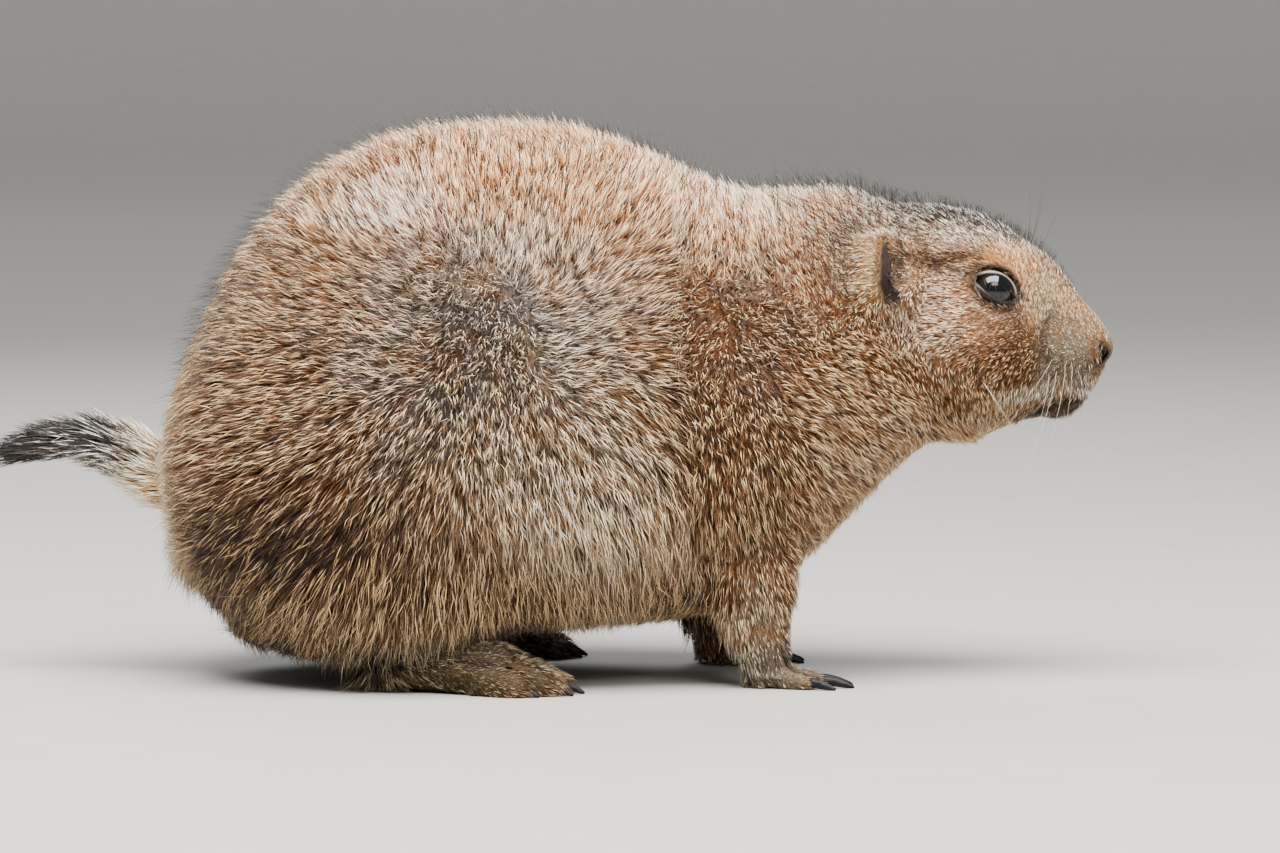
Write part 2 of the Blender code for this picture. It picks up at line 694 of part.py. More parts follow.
def tail_locks(start, end, rows, around, rng):
    """Rows of locks round a stretch of the tail, each lying back over the next one's root."""
    spans = len(TAIL_PATH) - 1
    locks = []
    for i in range(rows):
        t = spans * (start + (end - start) * i / max(1, rows - 1))
        x, y, z, outline = spline(TAIL_PATH, t)
        ahead = (Vector(spline(TAIL_PATH, t + 0.05)[:3]) - Vector((x, y, z))).normalized()
        side = ahead.cross(Vector((0, 0, 1))).normalized()
        up = side.cross(ahead)
        core = outline * TAIL_CORE
        for k in range(around):
            turn = 2 * math.pi * (k + 0.5 * (i % 2)) / around
            out = side * math.cos(turn) + up * math.sin(turn)
            point = Vector((x, y, z)) + out * core * 0.92
            way = (ahead + out * 0.16).normalized()
            face = (out - way * out.dot(way)).normalized()
            length = min(TAIL_LOCK_LENGTH, TAIL_LENGTH * (1 - t / spans))
            width = TAIL_LOCK_WIDTH * (0.35 + 0.65 * outline / 10)
            locks.append(lock(point, way, face, length, width, rng))
    return locks


def cut_flat(obj, point, normal):
    """Removes what lies on the normal's side of the plane, and closes the cut."""
    bm = bmesh.new()
    bm.from_mesh(obj.data)
    geometry = [*bm.verts, *bm.edges, *bm.faces]
    cut = bmesh.ops.bisect_plane(
        bm, geom=geometry, dist=1e-6, plane_co=point * MM, plane_no=normal, clear_outer=True
    )
    edges = [e for e in cut["geom_cut"] if isinstance(e, bmesh.types.BMEdge)]
    bmesh.ops.holes_fill(bm, edges=edges)
    bmesh.ops.recalc_face_normals(bm, faces=bm.faces)
    bm.to_mesh(obj.data)
    bm.free()
    keep_largest(obj)


def make_tail(materials, rng):
    """The tail in two lengths, the pale base and the dark brush, split by a flat cut."""
    spans = len(TAIL_PATH) - 1
    at = Vector(spline(TAIL_PATH, spans * TAIL_SPLIT)[:3])
    ahead = (Vector(spline(TAIL_PATH, spans * TAIL_SPLIT + 0.1)[:3]) - at).normalized()
    rows = tail_rows(0.0, TAIL_CORE_END, 11)
    parts = []
    for name, slot, way, first, last, count in (
        ("tail_base", "coat_pale", 1, TAIL_BASE_LOCKS_AT, TAIL_BASE_LOCKS_AT, 1),
        ("tail_brush", "coat_dark", -1, TAIL_SPLIT, TAIL_CORE_END - 0.02, TAIL_LOCK_ROWS),
    ):
        part = tube(name, rows, 10, 1, materials[slot], cap_rings=2)
        boolean(part, tail_locks(first, last, count, TAIL_LOCKS_ROUND, rng), "UNION")
        cut_flat(part, at - ahead * way * GAP / 2, ahead * way)
        parts.append(part)
    return parts


def make_trunk(materials):
    """Rump, hips, waist, chest and neck, each a stretch of the loft."""
    coat = materials["coat"]
    return {
        "rump": trunk_part("rump", 0, RUMP_END, coat),
        "hips": trunk_part("hips", RUMP_END, HIPS_END, coat),
        "waist": trunk_part("waist", HIPS_END, WAIST_END, coat),
        "chest": trunk_part("chest", WAIST_END, CHEST_END, coat),
        "neck": trunk_part("neck", CHEST_END, NECK_END, coat),
    }


def make_limbs(trunk, materials, rng):
    for side in (-1, 1):
        which = "right" if side < 0 else "left"
        thigh = part_limb_root(trunk["hips"], f"thigh_{which}", THIGH, side)
        arm = part_limb_root(trunk["chest"], f"upper_arm_{which}", UPPER_ARM, side)
        make_hindfoot(side, materials)
        make_forefoot(side, materials)
        sole = mirrored(HIND_PATH, side)
        boolean(thigh, hem_locks(thigh, side, rng), "UNION")
        for part in (thigh, trunk["hips"]):
            boolean(part, [tube("room", sole, 12, 2, None, GAP, cap_rings=2)], "DIFFERENCE")
        forearm = make_forearm(f"forearm_{which}", side, materials["coat"])
        for part in (arm, trunk["chest"], trunk["waist"]):
            boolean(part, [make_forearm("room", side, None, GAP)], "DIFFERENCE")
        back = FORE_STEP_BACK if side > 0 else 0.0
        heel, ball, wide, high = PALM
        palm = mirrored(((*heel, wide, high), (*ball, wide, high * 0.9)), side, back)
        boolean(forearm, [tube("room", palm, 10, 2, None, GAP, cap_rings=2)], "DIFFERENCE")


def shade_and_centre():
    """Smooth shading, and the origin moved to the middle of the footprint on the floor."""
    shown = [obj for obj in bpy.context.scene.objects if obj.type == "MESH"]
    corners = [vert.co for obj in shown for vert in obj.data.vertices]
    middle = [(min(c[k] for c in corners) + max(c[k] for c in corners)) / 2 for k in (0, 1)]
    lowest = min(c.z for c in corners)
    for obj in shown:
        for vert in obj.data.vertices:
            vert.co -= Vector((*middle, lowest))
        obj.data.shade_smooth()
        obj.data.set_sharp_from_angle(angle=math.radians(50))
    print("origin moved by", [round(m / MM, 3) for m in middle], round(lowest / MM, 3))


def main():
    clear_scene()
    rng = random.Random(SEED)
    materials = make_materials()
    trunk = make_trunk(materials)
    make_head(materials)
    make_limbs(trunk, materials, rng)
    base, _ = make_tail(materials, rng)
    boolean(base, [trunk_part("room", 0, HIPS_END, None, GAP)], "DIFFERENCE")
    boolean(trunk["rump"], rump_locks(trunk["rump"], rng), "UNION")
    shade_and_centre()


main()
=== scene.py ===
import math

import bmesh
import bpy
import numpy as np
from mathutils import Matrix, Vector
from mathutils.bvhtree import BVHTree
from mathutils.kdtree import KDTree


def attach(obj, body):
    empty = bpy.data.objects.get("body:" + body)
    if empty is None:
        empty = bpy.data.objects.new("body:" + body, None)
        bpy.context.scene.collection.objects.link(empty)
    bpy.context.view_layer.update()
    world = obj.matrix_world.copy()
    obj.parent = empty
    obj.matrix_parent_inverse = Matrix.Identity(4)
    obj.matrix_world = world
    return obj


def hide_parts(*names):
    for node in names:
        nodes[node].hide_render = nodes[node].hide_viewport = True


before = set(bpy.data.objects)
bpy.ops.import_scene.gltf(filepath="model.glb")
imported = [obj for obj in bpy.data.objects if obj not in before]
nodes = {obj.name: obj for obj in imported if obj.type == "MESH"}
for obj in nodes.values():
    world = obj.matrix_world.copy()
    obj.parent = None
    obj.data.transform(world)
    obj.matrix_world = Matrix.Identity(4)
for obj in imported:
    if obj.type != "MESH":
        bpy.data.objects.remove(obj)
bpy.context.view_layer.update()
mm = 0.001
root = "root"

# camera, and where the floor lies in the picture

camera = {
    "aim": (0.02385, 0.0, 0.0698),
    "distance": 1.79,
    "elevation": math.radians(4.0),
    "lens": 179.8,
    "milliPerPixel": 0.28,
    "middlePixel": 640,
    "floorPixel": 675,
}


def linked(name, data):
    # a new object in the scene
    obj = bpy.data.objects.new(name, data)
    bpy.context.scene.collection.objects.link(obj)
    return obj


def addCamera():
    data = bpy.data.cameras.new("camera")
    data.lens = camera["lens"]
    data.sensor_width = 36
    data.clip_end = 50
    obj = linked("camera", data)
    back = Vector((0, -math.cos(camera["elevation"]), math.sin(camera["elevation"])))
    obj.location = Vector(camera["aim"]) + back * camera["distance"]
    obj.rotation_euler = (-back).to_track_quat("-Z", "Y").to_euler()
    bpy.context.scene.camera = obj
    return obj.location.copy()


cameraPlace = addCamera()


def inPicture(px, py):
    # where a place in the picture lies on the animal's middle plane, in metres
    size = camera["milliPerPixel"] * mm
    return camera["aim"][0] + (px - camera["middlePixel"]) * size, (camera["floorPixel"] - py) * size


# shader helpers


class Sock:
    # one value of a shader, so that maths on it reads as maths
    def __init__(self, finish, out):
        self.finish = finish
        self.out = out

    def __add__(self, other):
        return self.finish.maths("ADD", self, other)

    def __sub__(self, other):
        return self.finish.maths("SUBTRACT", self, other)

    def __rsub__(self, other):
        return self.finish.maths("SUBTRACT", other, self)

    def __mul__(self, other):
        return self.finish.maths("MULTIPLY", self, other)

    __radd__ = __add__
    __rmul__ = __mul__


class Finish:
    # a material and the nodes that it is made of
    def __init__(self, name, **fixed):
        self.material = bpy.data.materials.new(name)
        self.material.use_nodes = True
        self.tree = self.material.node_tree
        self.tree.nodes.clear()
        self.shader = self.tree.nodes.new("ShaderNodeBsdfPrincipled")
        output = self.tree.nodes.new("ShaderNodeOutputMaterial")
        self.tree.links.new(self.shader.outputs[0], output.inputs[0])
        for name, value in fixed.items():
            self.shader.inputs[name.replace("_", " ")].default_value = value
        self.place = self.node("ShaderNodeTexCoord", out="Object")

    def node(self, kind, settings=None, values=None, out=0):
        made = self.tree.nodes.new(kind)
        for name, value in (settings or {}).items():
            setattr(made, name, value)
        for name, value in (values or {}).items():
            socket = made.inputs[name]
            if isinstance(value, Sock):
                self.tree.links.new(value.out, socket)
            else:
                socket.default_value = (*value, 1) if socket.type == "RGBA" else value
        return Sock(self, made.outputs[out])

    def maths(self, operation, *values):
        return self.node("ShaderNodeMath", {"operation": operation}, dict(enumerate(values)))

    def vector(self, operation, *values, out=0):
        return self.node("ShaderNodeVectorMath", {"operation": operation}, dict(enumerate(values)), out)

    def attribute(self, name):
        return self.node("ShaderNodeAttribute", {"attribute_name": name}, out="Fac")

    def mix(self, share, first, second, how="MIX"):
        settings = {"data_type": "RGBA", "blend_type": how, "clamp_factor": True}
        return self.node("ShaderNodeMix", settings, {0: share, 6: first, 7: second}, out=2)

    def ramp(self, value, low, high):
        values = {"Value": value, "From Min": low, "From Max": high}
        return self.node("ShaderNodeMapRange", {"interpolation_type": "SMOOTHSTEP"}, values)

    def noise(self, place, scale, detail=2.0, rough=0.5, out="Fac"):
        values = {"Vector": place, "Scale": scale, "Detail": detail, "Roughness": rough}
        return self.node("ShaderNodeTexNoise", None, values, out)

    def mirrored(self, place):
        # the place with the animal's left half laid over the right one
        return self.vector("MINIMUM", place, self.vector("MULTIPLY", place, (1, -1, 1)))

    def spot(self, place, centre, reach, outer, inner):
        # 1 inside an ellipsoid, whose reach is in mm, and 0 outside it, with a soft edge
        values = {"Vector": place, "Location": centre, "Scale": tuple(r * mm for r in reach)}
        near = self.node("ShaderNodeMapping", {"vector_type": "TEXTURE"}, values)
        return self.ramp(self.vector("LENGTH", near, out="Value"), outer, inner)

    def bump(self, height, strength, distance):
        values = {"Height": height, "Strength": strength, "Distance": distance}
        return self.node("ShaderNodeBump", None, values)

    def wear(self, **sockets):
        for name, value in sockets.items():
            self.tree.links.new(value.out, self.shader.inputs[name.replace("_", " ")])
        return self.material


# mesh helpers


def pick(*objects):
    # selects these and nothing else, the first of them active
    bpy.ops.object.select_all(action="DESELECT")
    for obj in objects:
        obj.select_set(True)
    bpy.context.view_layer.objects.active = objects[0]


def smooth(obj):
    pick(obj)
    bpy.ops.object.shade_smooth()
    return obj


def newObject(name, points, faces):
    mesh = bpy.data.meshes.new(name)
    mesh.from_pydata([tuple(p) for p in points], [], faces)
    return linked(name, mesh)


def rowsOf(collection, what):
    out = np.empty(len(collection) * 3, np.float32)
    collection.foreach_get(what, out)
    return out.reshape(-1, 3).astype(float)


def coordinates(obj):
    return rowsOf(obj.data.vertices, "co")


def normalsOf(obj):
    return rowsOf(obj.data.vertex_normals, "vector")


def setCoordinates(obj, points):
    obj.data.vertices.foreach_set("co", np.asarray(points, np.float32).ravel())
    obj.data.update()


def liftToFloor(obj):
    points = coordinates(obj)
    points[:, 2] = np.maximum(points[:, 2], 0.0)
    setCoordinates(obj, points)


def mark(obj, name, numbers):
    # a number at each point, which a material reads by its name
    attribute = obj.data.attributes.new(name, "FLOAT", "POINT")
    attribute.data.foreach_set("value", np.asarray(numbers, np.float32))


def outwardFaces(obj):
    shape = bmesh.new()
    shape.from_mesh(obj.data)
    bmesh.ops.recalc_face_normals(shape, faces=shape.faces)
    shape.to_mesh(obj.data)
    shape.free()
    return smooth(obj)


def bands(first, rows, turns, wrapped=False):
    # faces between rings of points, and between the last ring and the first if wrapped
    faces = []
    for row in range(rows if wrapped else rows - 1):
        low, high = first + row * turns, first + (row + 1) % rows * turns
        for k in range(turns):
            n = (k + 1) % turns
            faces.append((low + k, low + n, high + n, high + k))
    return faces


def copyNode(name, grow=0.0):
    # a copy of a CAD node, merged, and swollen by some mm along its normals
    mesh = nodes[name].data.copy()
    mesh.materials.clear()
    shape = bmesh.new()
    shape.from_mesh(mesh)
    bmesh.ops.remove_doubles(shape, verts=shape.verts, dist=1e-6)
    shape.normal_update()
    moved = [v.co + v.normal * (grow * mm) for v in shape.verts]
    for vertex, place in zip(shape.verts, moved):
        vertex.co = place
    shape.to_mesh(mesh)
    shape.free()
    return linked("copy_" + name, mesh)


def joined(name, parts):
    pick(*parts)
    bpy.ops.object.join()
    obj = bpy.context.object
    obj.name = obj.data.name = name
    return obj


def apply(obj, kind, **settings):
    pick(obj)
    modifier = obj.modifiers.new(kind.lower(), kind)
    for name, value in settings.items():
        setattr(modifier, name, value)
    bpy.ops.object.modifier_apply(modifier=modifier.name)
    return obj


def step(value, low, high):
    share = np.clip((value - low) / (high - low), 0, 1)
    return share * share * (3 - 2 * share)


def tubeThrough(name, places, radii, sides=12, rings=6):
    # a closed tube through places in mm, with a radius at each, rounded at both ends
    places, radii = np.array(places, float) * mm, np.array(radii, float) * mm
    along = np.arange(len(places))
    steps = np.linspace(0, len(places) - 1, rings * (len(places) - 1) + 1)
    line = np.column_stack([np.interp(steps, along, places[:, k]) for k in range(3)])
    for _ in range(rings):
        line[1:-1] = (line[:-2] + 2 * line[1:-1] + line[2:]) / 4
    size = np.interp(steps, along, radii)
    ahead = np.gradient(line, axis=0)
    ahead /= np.linalg.norm(ahead, axis=1)[:, None]
    across = np.cross(ahead, (0.13, 0.07, 1.0))  # never along the tube
    across /= np.linalg.norm(across, axis=1)[:, None]
    up = np.cross(across, ahead)
    turns = np.linspace(0, 2 * np.pi, sides, endpoint=False)
    points = [line[0] - ahead[0] * size[0] * 0.6]
    for c, a, u, r in zip(line, across, up, size):
        points += [c + r * (a * math.cos(t) + u * math.sin(t)) for t in turns]
    points.append(line[-1] + ahead[-1] * size[-1] * 0.6)
    last = 1 + (len(line) - 1) * sides
    faces = [(0, 1 + (k + 1) % sides, 1 + k) for k in range(sides)] + bands(1, len(line), sides)
    faces += [(last + k, last + (k + 1) % sides, len(points) - 1) for k in range(sides)]
    return outwardFaces(newObject(name, points, faces))


# skin

skin = {
    "bodyDepth": 5.0,  # millimetres of coat over the trunk
    "faceDepth": 1.2,
    "crownDepth": 2.4,
    "headVoxel": 0.64,
    "footVoxel": 0.8,
    "bodyVoxel": 2.0,
    "trunkVoxel": 1.3,
    "earShift": (-1.4, 0, 0),
    # how far copies are swollen, so that they close the thin gaps between the nodes
    "bodyGrow": 0.4,
    "earGrow": 0.35,
    "handGrow": 0.3,
    "footGrow": 0.1,
    "neckCut": (79, 0, 138),  # the head's skin ends here, on a slanting plane
    "neckSlant": 0.16,
}
eyes = {
    "middle": (121.06, -19.47, 108.92),
    "outward": (0.324, -0.918, 0.229),
    "long": (0.864, 0.189, -0.466),
    "short": (0.385, 0.349, 0.855),
    "radius": 6.0,
    "lidLong": 6.0,
    "lidShort": 4.0,
}

earPlace = (90.35, 29.22, 115.0)
tailRoute = {  # x, y, z and radius of the flesh under the tail's hair
    "places": [(-92, 0, 50), (-102, 0, 52.5), (-110, 1, 57), (-119, 4, 62), (-128, 8, 65.3),
               (-137, 12.5, 65.3), (-145, 17, 63.5), (-150, 20, 61.8)],
    "radii": [6.5, 6.0, 5.6, 4.6, 3.8, 3.2, 2.4, 1.3],
}
shank = {"places": [(-47, 39, 8), (-40, 40, 20), (-28, 42, 34)], "radii": [4, 7, 9]}  # from heel to thigh
trunkNodes = ["head", "neck", "chest", "waist", "hips", "rump", "tail_base"]
limbNodes = ["thigh", "upper_arm", "forearm"]


def bothSides(names):
    return [name + side for name in names for side in ("_right", "_left")]


def eyeFrame(side):
    # the eyeball's middle in mm, its long, short and outward ways. Side is 1 on the right, -1 on the left
    return [np.array(eyes[name]) * (1, side, 1) for name in ("middle", "long", "short", "outward")]


def acrossEye(offset, side, wider):
    # how far along and up the lids' ellipse, made wider by some mm, offsets from the eyeball's middle lie
    _, long, short, _ = eyeFrame(side)
    return offset @ long / (eyes["lidLong"] + wider), offset @ short / (eyes["lidShort"] + wider)


def innerShape(obj, depth, voxel):
    # what is left when a layer of that depth is taken off all round, which takes thin locks off too
    tree = bpy.data.node_groups.new("inner shape", "GeometryNodeTree")
    for way in ("INPUT", "OUTPUT"):
        tree.interface.new_socket("Geometry", in_out=way, socket_type="NodeSocketGeometry")
    kinds = ("NodeGroupInput", "GeometryNodeMeshToVolume", "GeometryNodeVolumeToMesh", "NodeGroupOutput")
    chain = [tree.nodes.new(kind) for kind in kinds]
    fill, peel = chain[1:3]
    fill.resolution_mode = "VOXEL_SIZE"
    fill.inputs["Voxel Size"].default_value = voxel * mm
    fill.inputs["Interior Band Width"].default_value = depth * 2 * mm
    peel.resolution_mode = "GRID"
    peel.inputs["Threshold"].default_value = 0.5
    for one, after in zip(chain, chain[1:]):
        tree.links.new(one.outputs[0], after.inputs[0])
    return apply(obj, "NODES", node_group=tree)


def softened(obj, rounds):
    return apply(obj, "SMOOTH", factor=0.5, iterations=rounds)


# where the head's coat thins out: a place, within which mm of it, and what share is left there
thinSpots = [
    (eyes["middle"], 9, 13, 0.0),
    ((156, 0, 90), 9, 20, 0.0),
    ((150, 0, 79), 8, 16, 0.15),
    ((earPlace[0], -earPlace[1], earPlace[2]), 9, 17, 0.08),
]


def headDepth(points, normals):
    # how deep the skin lies under the coat's surface on the head, in mm
    places = np.column_stack([points[:, 0], -np.abs(points[:, 1]), points[:, 2]])
    slant = points[:, 0] - (skin["neckCut"][2] - points[:, 2]) * skin["neckSlant"]  # along the neck
    depth = skin["faceDepth"] + (skin["crownDepth"] - skin["faceDepth"]) * step(places[:, 2], 112, 126)
    depth += (skin["bodyDepth"] - depth) * step(-slant, -108, -92) + 4.0 * step(-slant, -92, -80)
    for place, none, full, least in thinSpots:
        away = np.linalg.norm(places - np.array(place), axis=1)
        depth *= least + (1 - least) * step(away, none, full)
    return depth


def footDepth(points, normals):
    # the same on hands and feet, whose toes' ends, heel and wrist are slimmer
    x, z = points[:, 0], points[:, 2]
    depth = 0.25 + 2.6 * step(z, 10, 40)
    depth += 0.45 * step(x, 68, 74) + 0.45 * step(x, -12, -5) * (x < 20)
    behindWrist = step(-normals[:, 0], 0.1, 0.7) * step(z, 3, 10) * step(-z, -34, -20)
    return depth + 3.0 * behindWrist * (x > 20)


def shrink(obj, depthAt):
    points, normals = coordinates(obj), normalsOf(obj)
    setCoordinates(obj, points - normals * depthAt(points / mm, normals)[:, None] * mm)


def cutAway(obj, place, normal):
    # takes off what lies behind a plane, and closes the cut
    pick(obj)
    bpy.ops.object.mode_set(mode="EDIT")
    bpy.ops.mesh.select_all(action="SELECT")
    place = tuple(v * mm for v in place)
    bpy.ops.mesh.bisect(plane_co=place, plane_no=normal, use_fill=True, clear_inner=True)
    bpy.ops.object.mode_set(mode="OBJECT")


def sinkUnderLids(obj):
    # presses the skin flat under the lids, which are a piece of their own
    points = coordinates(obj) / mm
    for side in (1, -1):
        middle, _, _, outward = eyeFrame(side)
        offset = points - middle
        across, up = acrossEye(offset, side, 1.6)
        out = offset @ outward
        near = across ** 2 + up ** 2
        limit = 1.4 + 2.8 * step(near, 0.68, 1.0)
        over = np.where((near < 1.0) & (out > limit), out - limit, 0)
        points -= over[:, None] * outward
    setCoordinates(obj, points * mm)


def buildSkin():
    trunk = joined("trunk", [copyNode(name, skin["bodyGrow"]) for name in trunkNodes + bothSides(limbNodes)])
    apply(trunk, "REMESH", mode="VOXEL", voxel_size=skin["trunkVoxel"] * mm)
    innerShape(trunk, skin["bodyDepth"], skin["bodyVoxel"])
    softened(trunk, 6)
    print("trunk under the coat:", len(trunk.data.polygons), "faces")

    ears = [copyNode(name, skin["earGrow"]) for name in bothSides(["ear"])]
    for ear in ears:
        setCoordinates(ear, coordinates(ear) + np.array(skin["earShift"]) * mm)
    head = joined("head_skin", [copyNode("head"), copyNode("neck", skin["bodyGrow"])] + ears)
    apply(head, "REMESH", mode="VOXEL", voxel_size=skin["headVoxel"] * mm)
    softened(head, 3)
    shrink(head, headDepth)
    cutAway(head, skin["neckCut"], (1, 0, skin["neckSlant"]))
    sinkUnderLids(head)
    print("head:", len(head.data.polygons), "faces")

    limbs = []
    for side, across in (("_right", -1), ("_left", 1)):
        parts = [copyNode(name + side, skin["handGrow"]) for name in ("forearm", "forefoot")]
        for obj in (joined("hand" + side, parts), copyNode("hindfoot" + side, skin["footGrow"])):
            apply(obj, "REMESH", mode="VOXEL", voxel_size=skin["footVoxel"] * mm)
            softened(obj, 2)
            shrink(obj, footDepth)
            liftToFloor(obj)  # soles stay on the floor
            limbs.append(obj)
        places = [(x, across * y, z) for x, y, z in shank["places"]]
        limbs.append(tubeThrough("shank" + side, places, shank["radii"]))
    tail = tubeThrough("tail_flesh", tailRoute["places"], tailRoute["radii"])

    for part in [head, tail] + limbs:
        apply(trunk, "BOOLEAN", operation="UNION", solver="MANIFOLD", object=part)
        bpy.data.objects.remove(part)
    trunk.name = trunk.data.name = "skin"
    apply(trunk, "TRIANGULATE")
    print("skin:", len(trunk.data.polygons), "triangles")
    return smooth(trunk)


skinObject = buildSkin()

# folds and swellings of the skin

def skinSurface():
    return BVHTree.FromObject(skinObject, bpy.context.evaluated_depsgraph_get())


def seenAt(px, py):
    # the skin's point and normal that the camera sees at a place in the picture
    x, z = inPicture(px, py)
    way = (Vector((x, 0, z)) - cameraPlace).normalized()
    point, normal, _, _ = skinTree.ray_cast(cameraPlace, way)
    if point is None:
        point, normal, _, _ = skinTree.find_nearest(Vector((x, 0, z)))
    return point, normal


def onSkin(place):
    # a place in the picture, or one in mm, put on the skin
    if len(place) == 2:
        return seenAt(*place)[0]
    return skinTree.find_nearest(Vector(place) * mm)[0]


# each fold: the places that it runs through (picture, or x, y, z in mm), half its width and
# its depth in mm, how much painted shade darkens it and how bare of hair
folds = {
    "mouth": ([(150.8, 0, 80.5), (1091, 389), (1078, 397), (1062, 401), (1046, 405), (1033, 411),
              (1024, 416)], 0.95, 1.5, 1.0, 0.9),
    "nostril": ([(1096, 362), (1101, 361), (1106, 357), (1106, 351), (1103, 347)], 1.25, 1.6, 1.0, 1.0),
    "lip cleft": ([(157, 0, 91.5), (155.5, 0, 87), (153, 0, 82.5)], 0.6, 0.8, 0.9, 0.5),
    "nose wing": ([(1096, 361), (1093, 355), (1094, 346), (1098, 339)], 0.7, 0.35, 0.25, 0.2),
    "pad crease": ([(1052, 316), (1046, 326), (1043, 338), (1043, 350), (1048, 360)], 1.5, 0.55, 0.6, 0.0),
    "cheek fold": ([(955, 334), (963, 349), (973, 362), (980, 376)], 1.5, 0.7, 0.5, 0.0),
    "under eye": ([(972, 290), (984, 306), (1000, 314), (1016, 314)], 1.2, 0.35, 0.22, 0.0),
    "ear slit": ([(886, 249), (885, 262), (885, 275), (886, 288), (889, 294)], 1.35, 0.0, 1.0, 1.0),
    "ear pocket": ([(886, 282), (889, 290), (894, 295)], 1.9, 0.0, 1.0, 0.8),
    "eye corner rear": ([(974, 277), (967, 271), (958, 268)], 0.8, 0.3, 0.75, 0.5),
    "eye corner front": ([(1014, 292), (1021, 298), (1027, 301)], 0.8, 0.3, 0.8, 0.5),
    "eye stripe": ([(962, 268), (940, 266), (918, 258), (906, 252)], 2.0, 0.35, 0.28, 0.0),
    "ear inside": ([(888, 254), (888, 268), (890, 284)], 2.2, 0.0, 0.6, 0.0),
    "ear hollow": ([(897, 254), (898, 268), (898, 282)], 1.8, 0.3, 0.45, 0.0),
    "ear front": ([(902, 241), (904, 249), (905, 259)], 0.9, 0.5, 0.8, 0.3),
    "neck line": ([(874, 318), (890, 326), (912, 329), (934, 338)], 1.3, 0.5, 0.35, 0.0),
    "arm fold": ([(735, 548), (752, 553), (772, 549), (788, 540)], 2.6, 0.6, 0.45, 0.0),
    "shoulder furrow": ([(676, 240), (668, 300), (672, 370), (682, 430), (690, 480),
                        (700, 540)], 4.0, 1.6, 0.4, 0.0),
    "hind toes 1": ([(-7, -56.2, 4), (-14, -53.6, 6), (-27, -50.5, 9)], 0.8, 1.2, 0.85, 0.9),
    "hind toes 2": ([(-3, -51.4, 4), (-14, -50.2, 7), (-28, -47.8, 10)], 0.8, 1.2, 0.85, 0.9),
    "hind toes 3": ([(-2, -45.8, 4), (-14, -45.6, 7), (-28, -45.2, 10)], 0.8, 1.2, 0.85, 0.9),
    "hind toes 4": ([(-7, -40.2, 4), (-14, -41.2, 7), (-26, -42.4, 10)], 0.8, 1.2, 0.85, 0.9),
    "near toe slit 1": ([(507, 652), (520, 661), (534, 676)], 0.8, 0.9, 0.95, 0.8),
    "near toe slit 2": ([(533, 650), (548, 659), (562, 673)], 0.8, 0.9, 0.95, 0.8),
    "fore toes 1": ([(73, -37.6, 3.5), (68, -36.2, 6), (63, -35.0, 8)], 0.7, 0.9, 0.9, 0.9),
    "fore toes 2": ([(75, -32.1, 3.5), (69, -32.1, 6), (63, -32.1, 8)], 0.7, 0.9, 0.9, 0.9),
    "fore toes 3": ([(73, -26.7, 3.5), (68, -28.2, 6), (63, -29.2, 8)], 0.7, 0.9, 0.9, 0.9),
    "left fore toes 1": ([(61, 37.4, 3.5), (56, 36.0, 6), (51, 34.8, 8)], 0.7, 0.9, 0.9, 0.9),
    "left fore toes 2": ([(63, 31.9, 3.5), (57, 31.9, 6), (51, 31.9, 8)], 0.7, 0.9, 0.9, 0.9),
    "left fore toes 3": ([(61, 26.5, 3.5), (56, 28.0, 6), (51, 29.0, 8)], 0.7, 0.9, 0.9, 0.9),
}
# each swelling: its middle, its reach and its height in mm
swellings = {
    "whisker pad": ((1070, 350), 7.5, 0.9),
    "foot rise": ((-19, -48, 10), 12.0, 3.2),
    "toe knuckles": ((-6, -50, 8), 8.5, 3.4),
    "upper lip": ((1078, 386), 3.2, 0.55),
    "lower lip": ((1052, 412), 3.4, 0.6),
    "brow": ((1002, 251), 5.5, 0.6),
    "cheek": ((1004, 366), 8.0, 0.5),
}
lowerLip = [(1030, 415), (1042, 413), (1056, 411), (1068, 407), (1076, 403)]  # the bare dark red strip


def fromEye(places):
    # 1 at the edge of the skin that the lids cover, less inside it
    middle, _, _, outward = eyeFrame(1)
    offset = places - middle
    return np.hypot(*acrossEye(offset, 1, 0.9)) + 9 * (offset @ outward < -4)


def awayFromLine(points, line):
    # how far each point, in mm, is from a line through places
    nearest = np.full(len(points), 1e9)
    for a, b in zip(line[:-1], line[1:]):
        run = b - a
        share = np.clip((points - a) @ run / (run @ run), 0, 1)
        nearest = np.minimum(nearest, np.linalg.norm(points - a - share[:, None] * run, axis=1))
    return nearest


def foldedLine(places):
    # the line through places, put on the skin at many points and laid on the right side
    size = len(places[-1])
    first = [place for place in places if len(place) != size]
    ends = np.array([place for place in places if len(place) == size], float)
    steps = np.linspace(0, len(ends) - 1, 5 * (len(ends) - 1) + 1)
    fine = list(zip(*(np.interp(steps, np.arange(len(ends)), column) for column in ends.T)))
    out = np.array([tuple(onSkin(place)) for place in first + fine]) / mm
    out[:, 1] = -np.abs(out[:, 1])
    return out


def placeFolds():
    made = []
    for name, (places, wide, deep, dark, bare) in folds.items():
        side = -1 if name.startswith("fore toes") else 1 if name.startswith("left") else 0
        flat = np.array([1, 0, 1] if name.startswith("ear") else [1, 1, 1])  # the ear's go right through it
        made.append((foldedLine(places), wide, deep, dark, bare, side, flat))
    return made


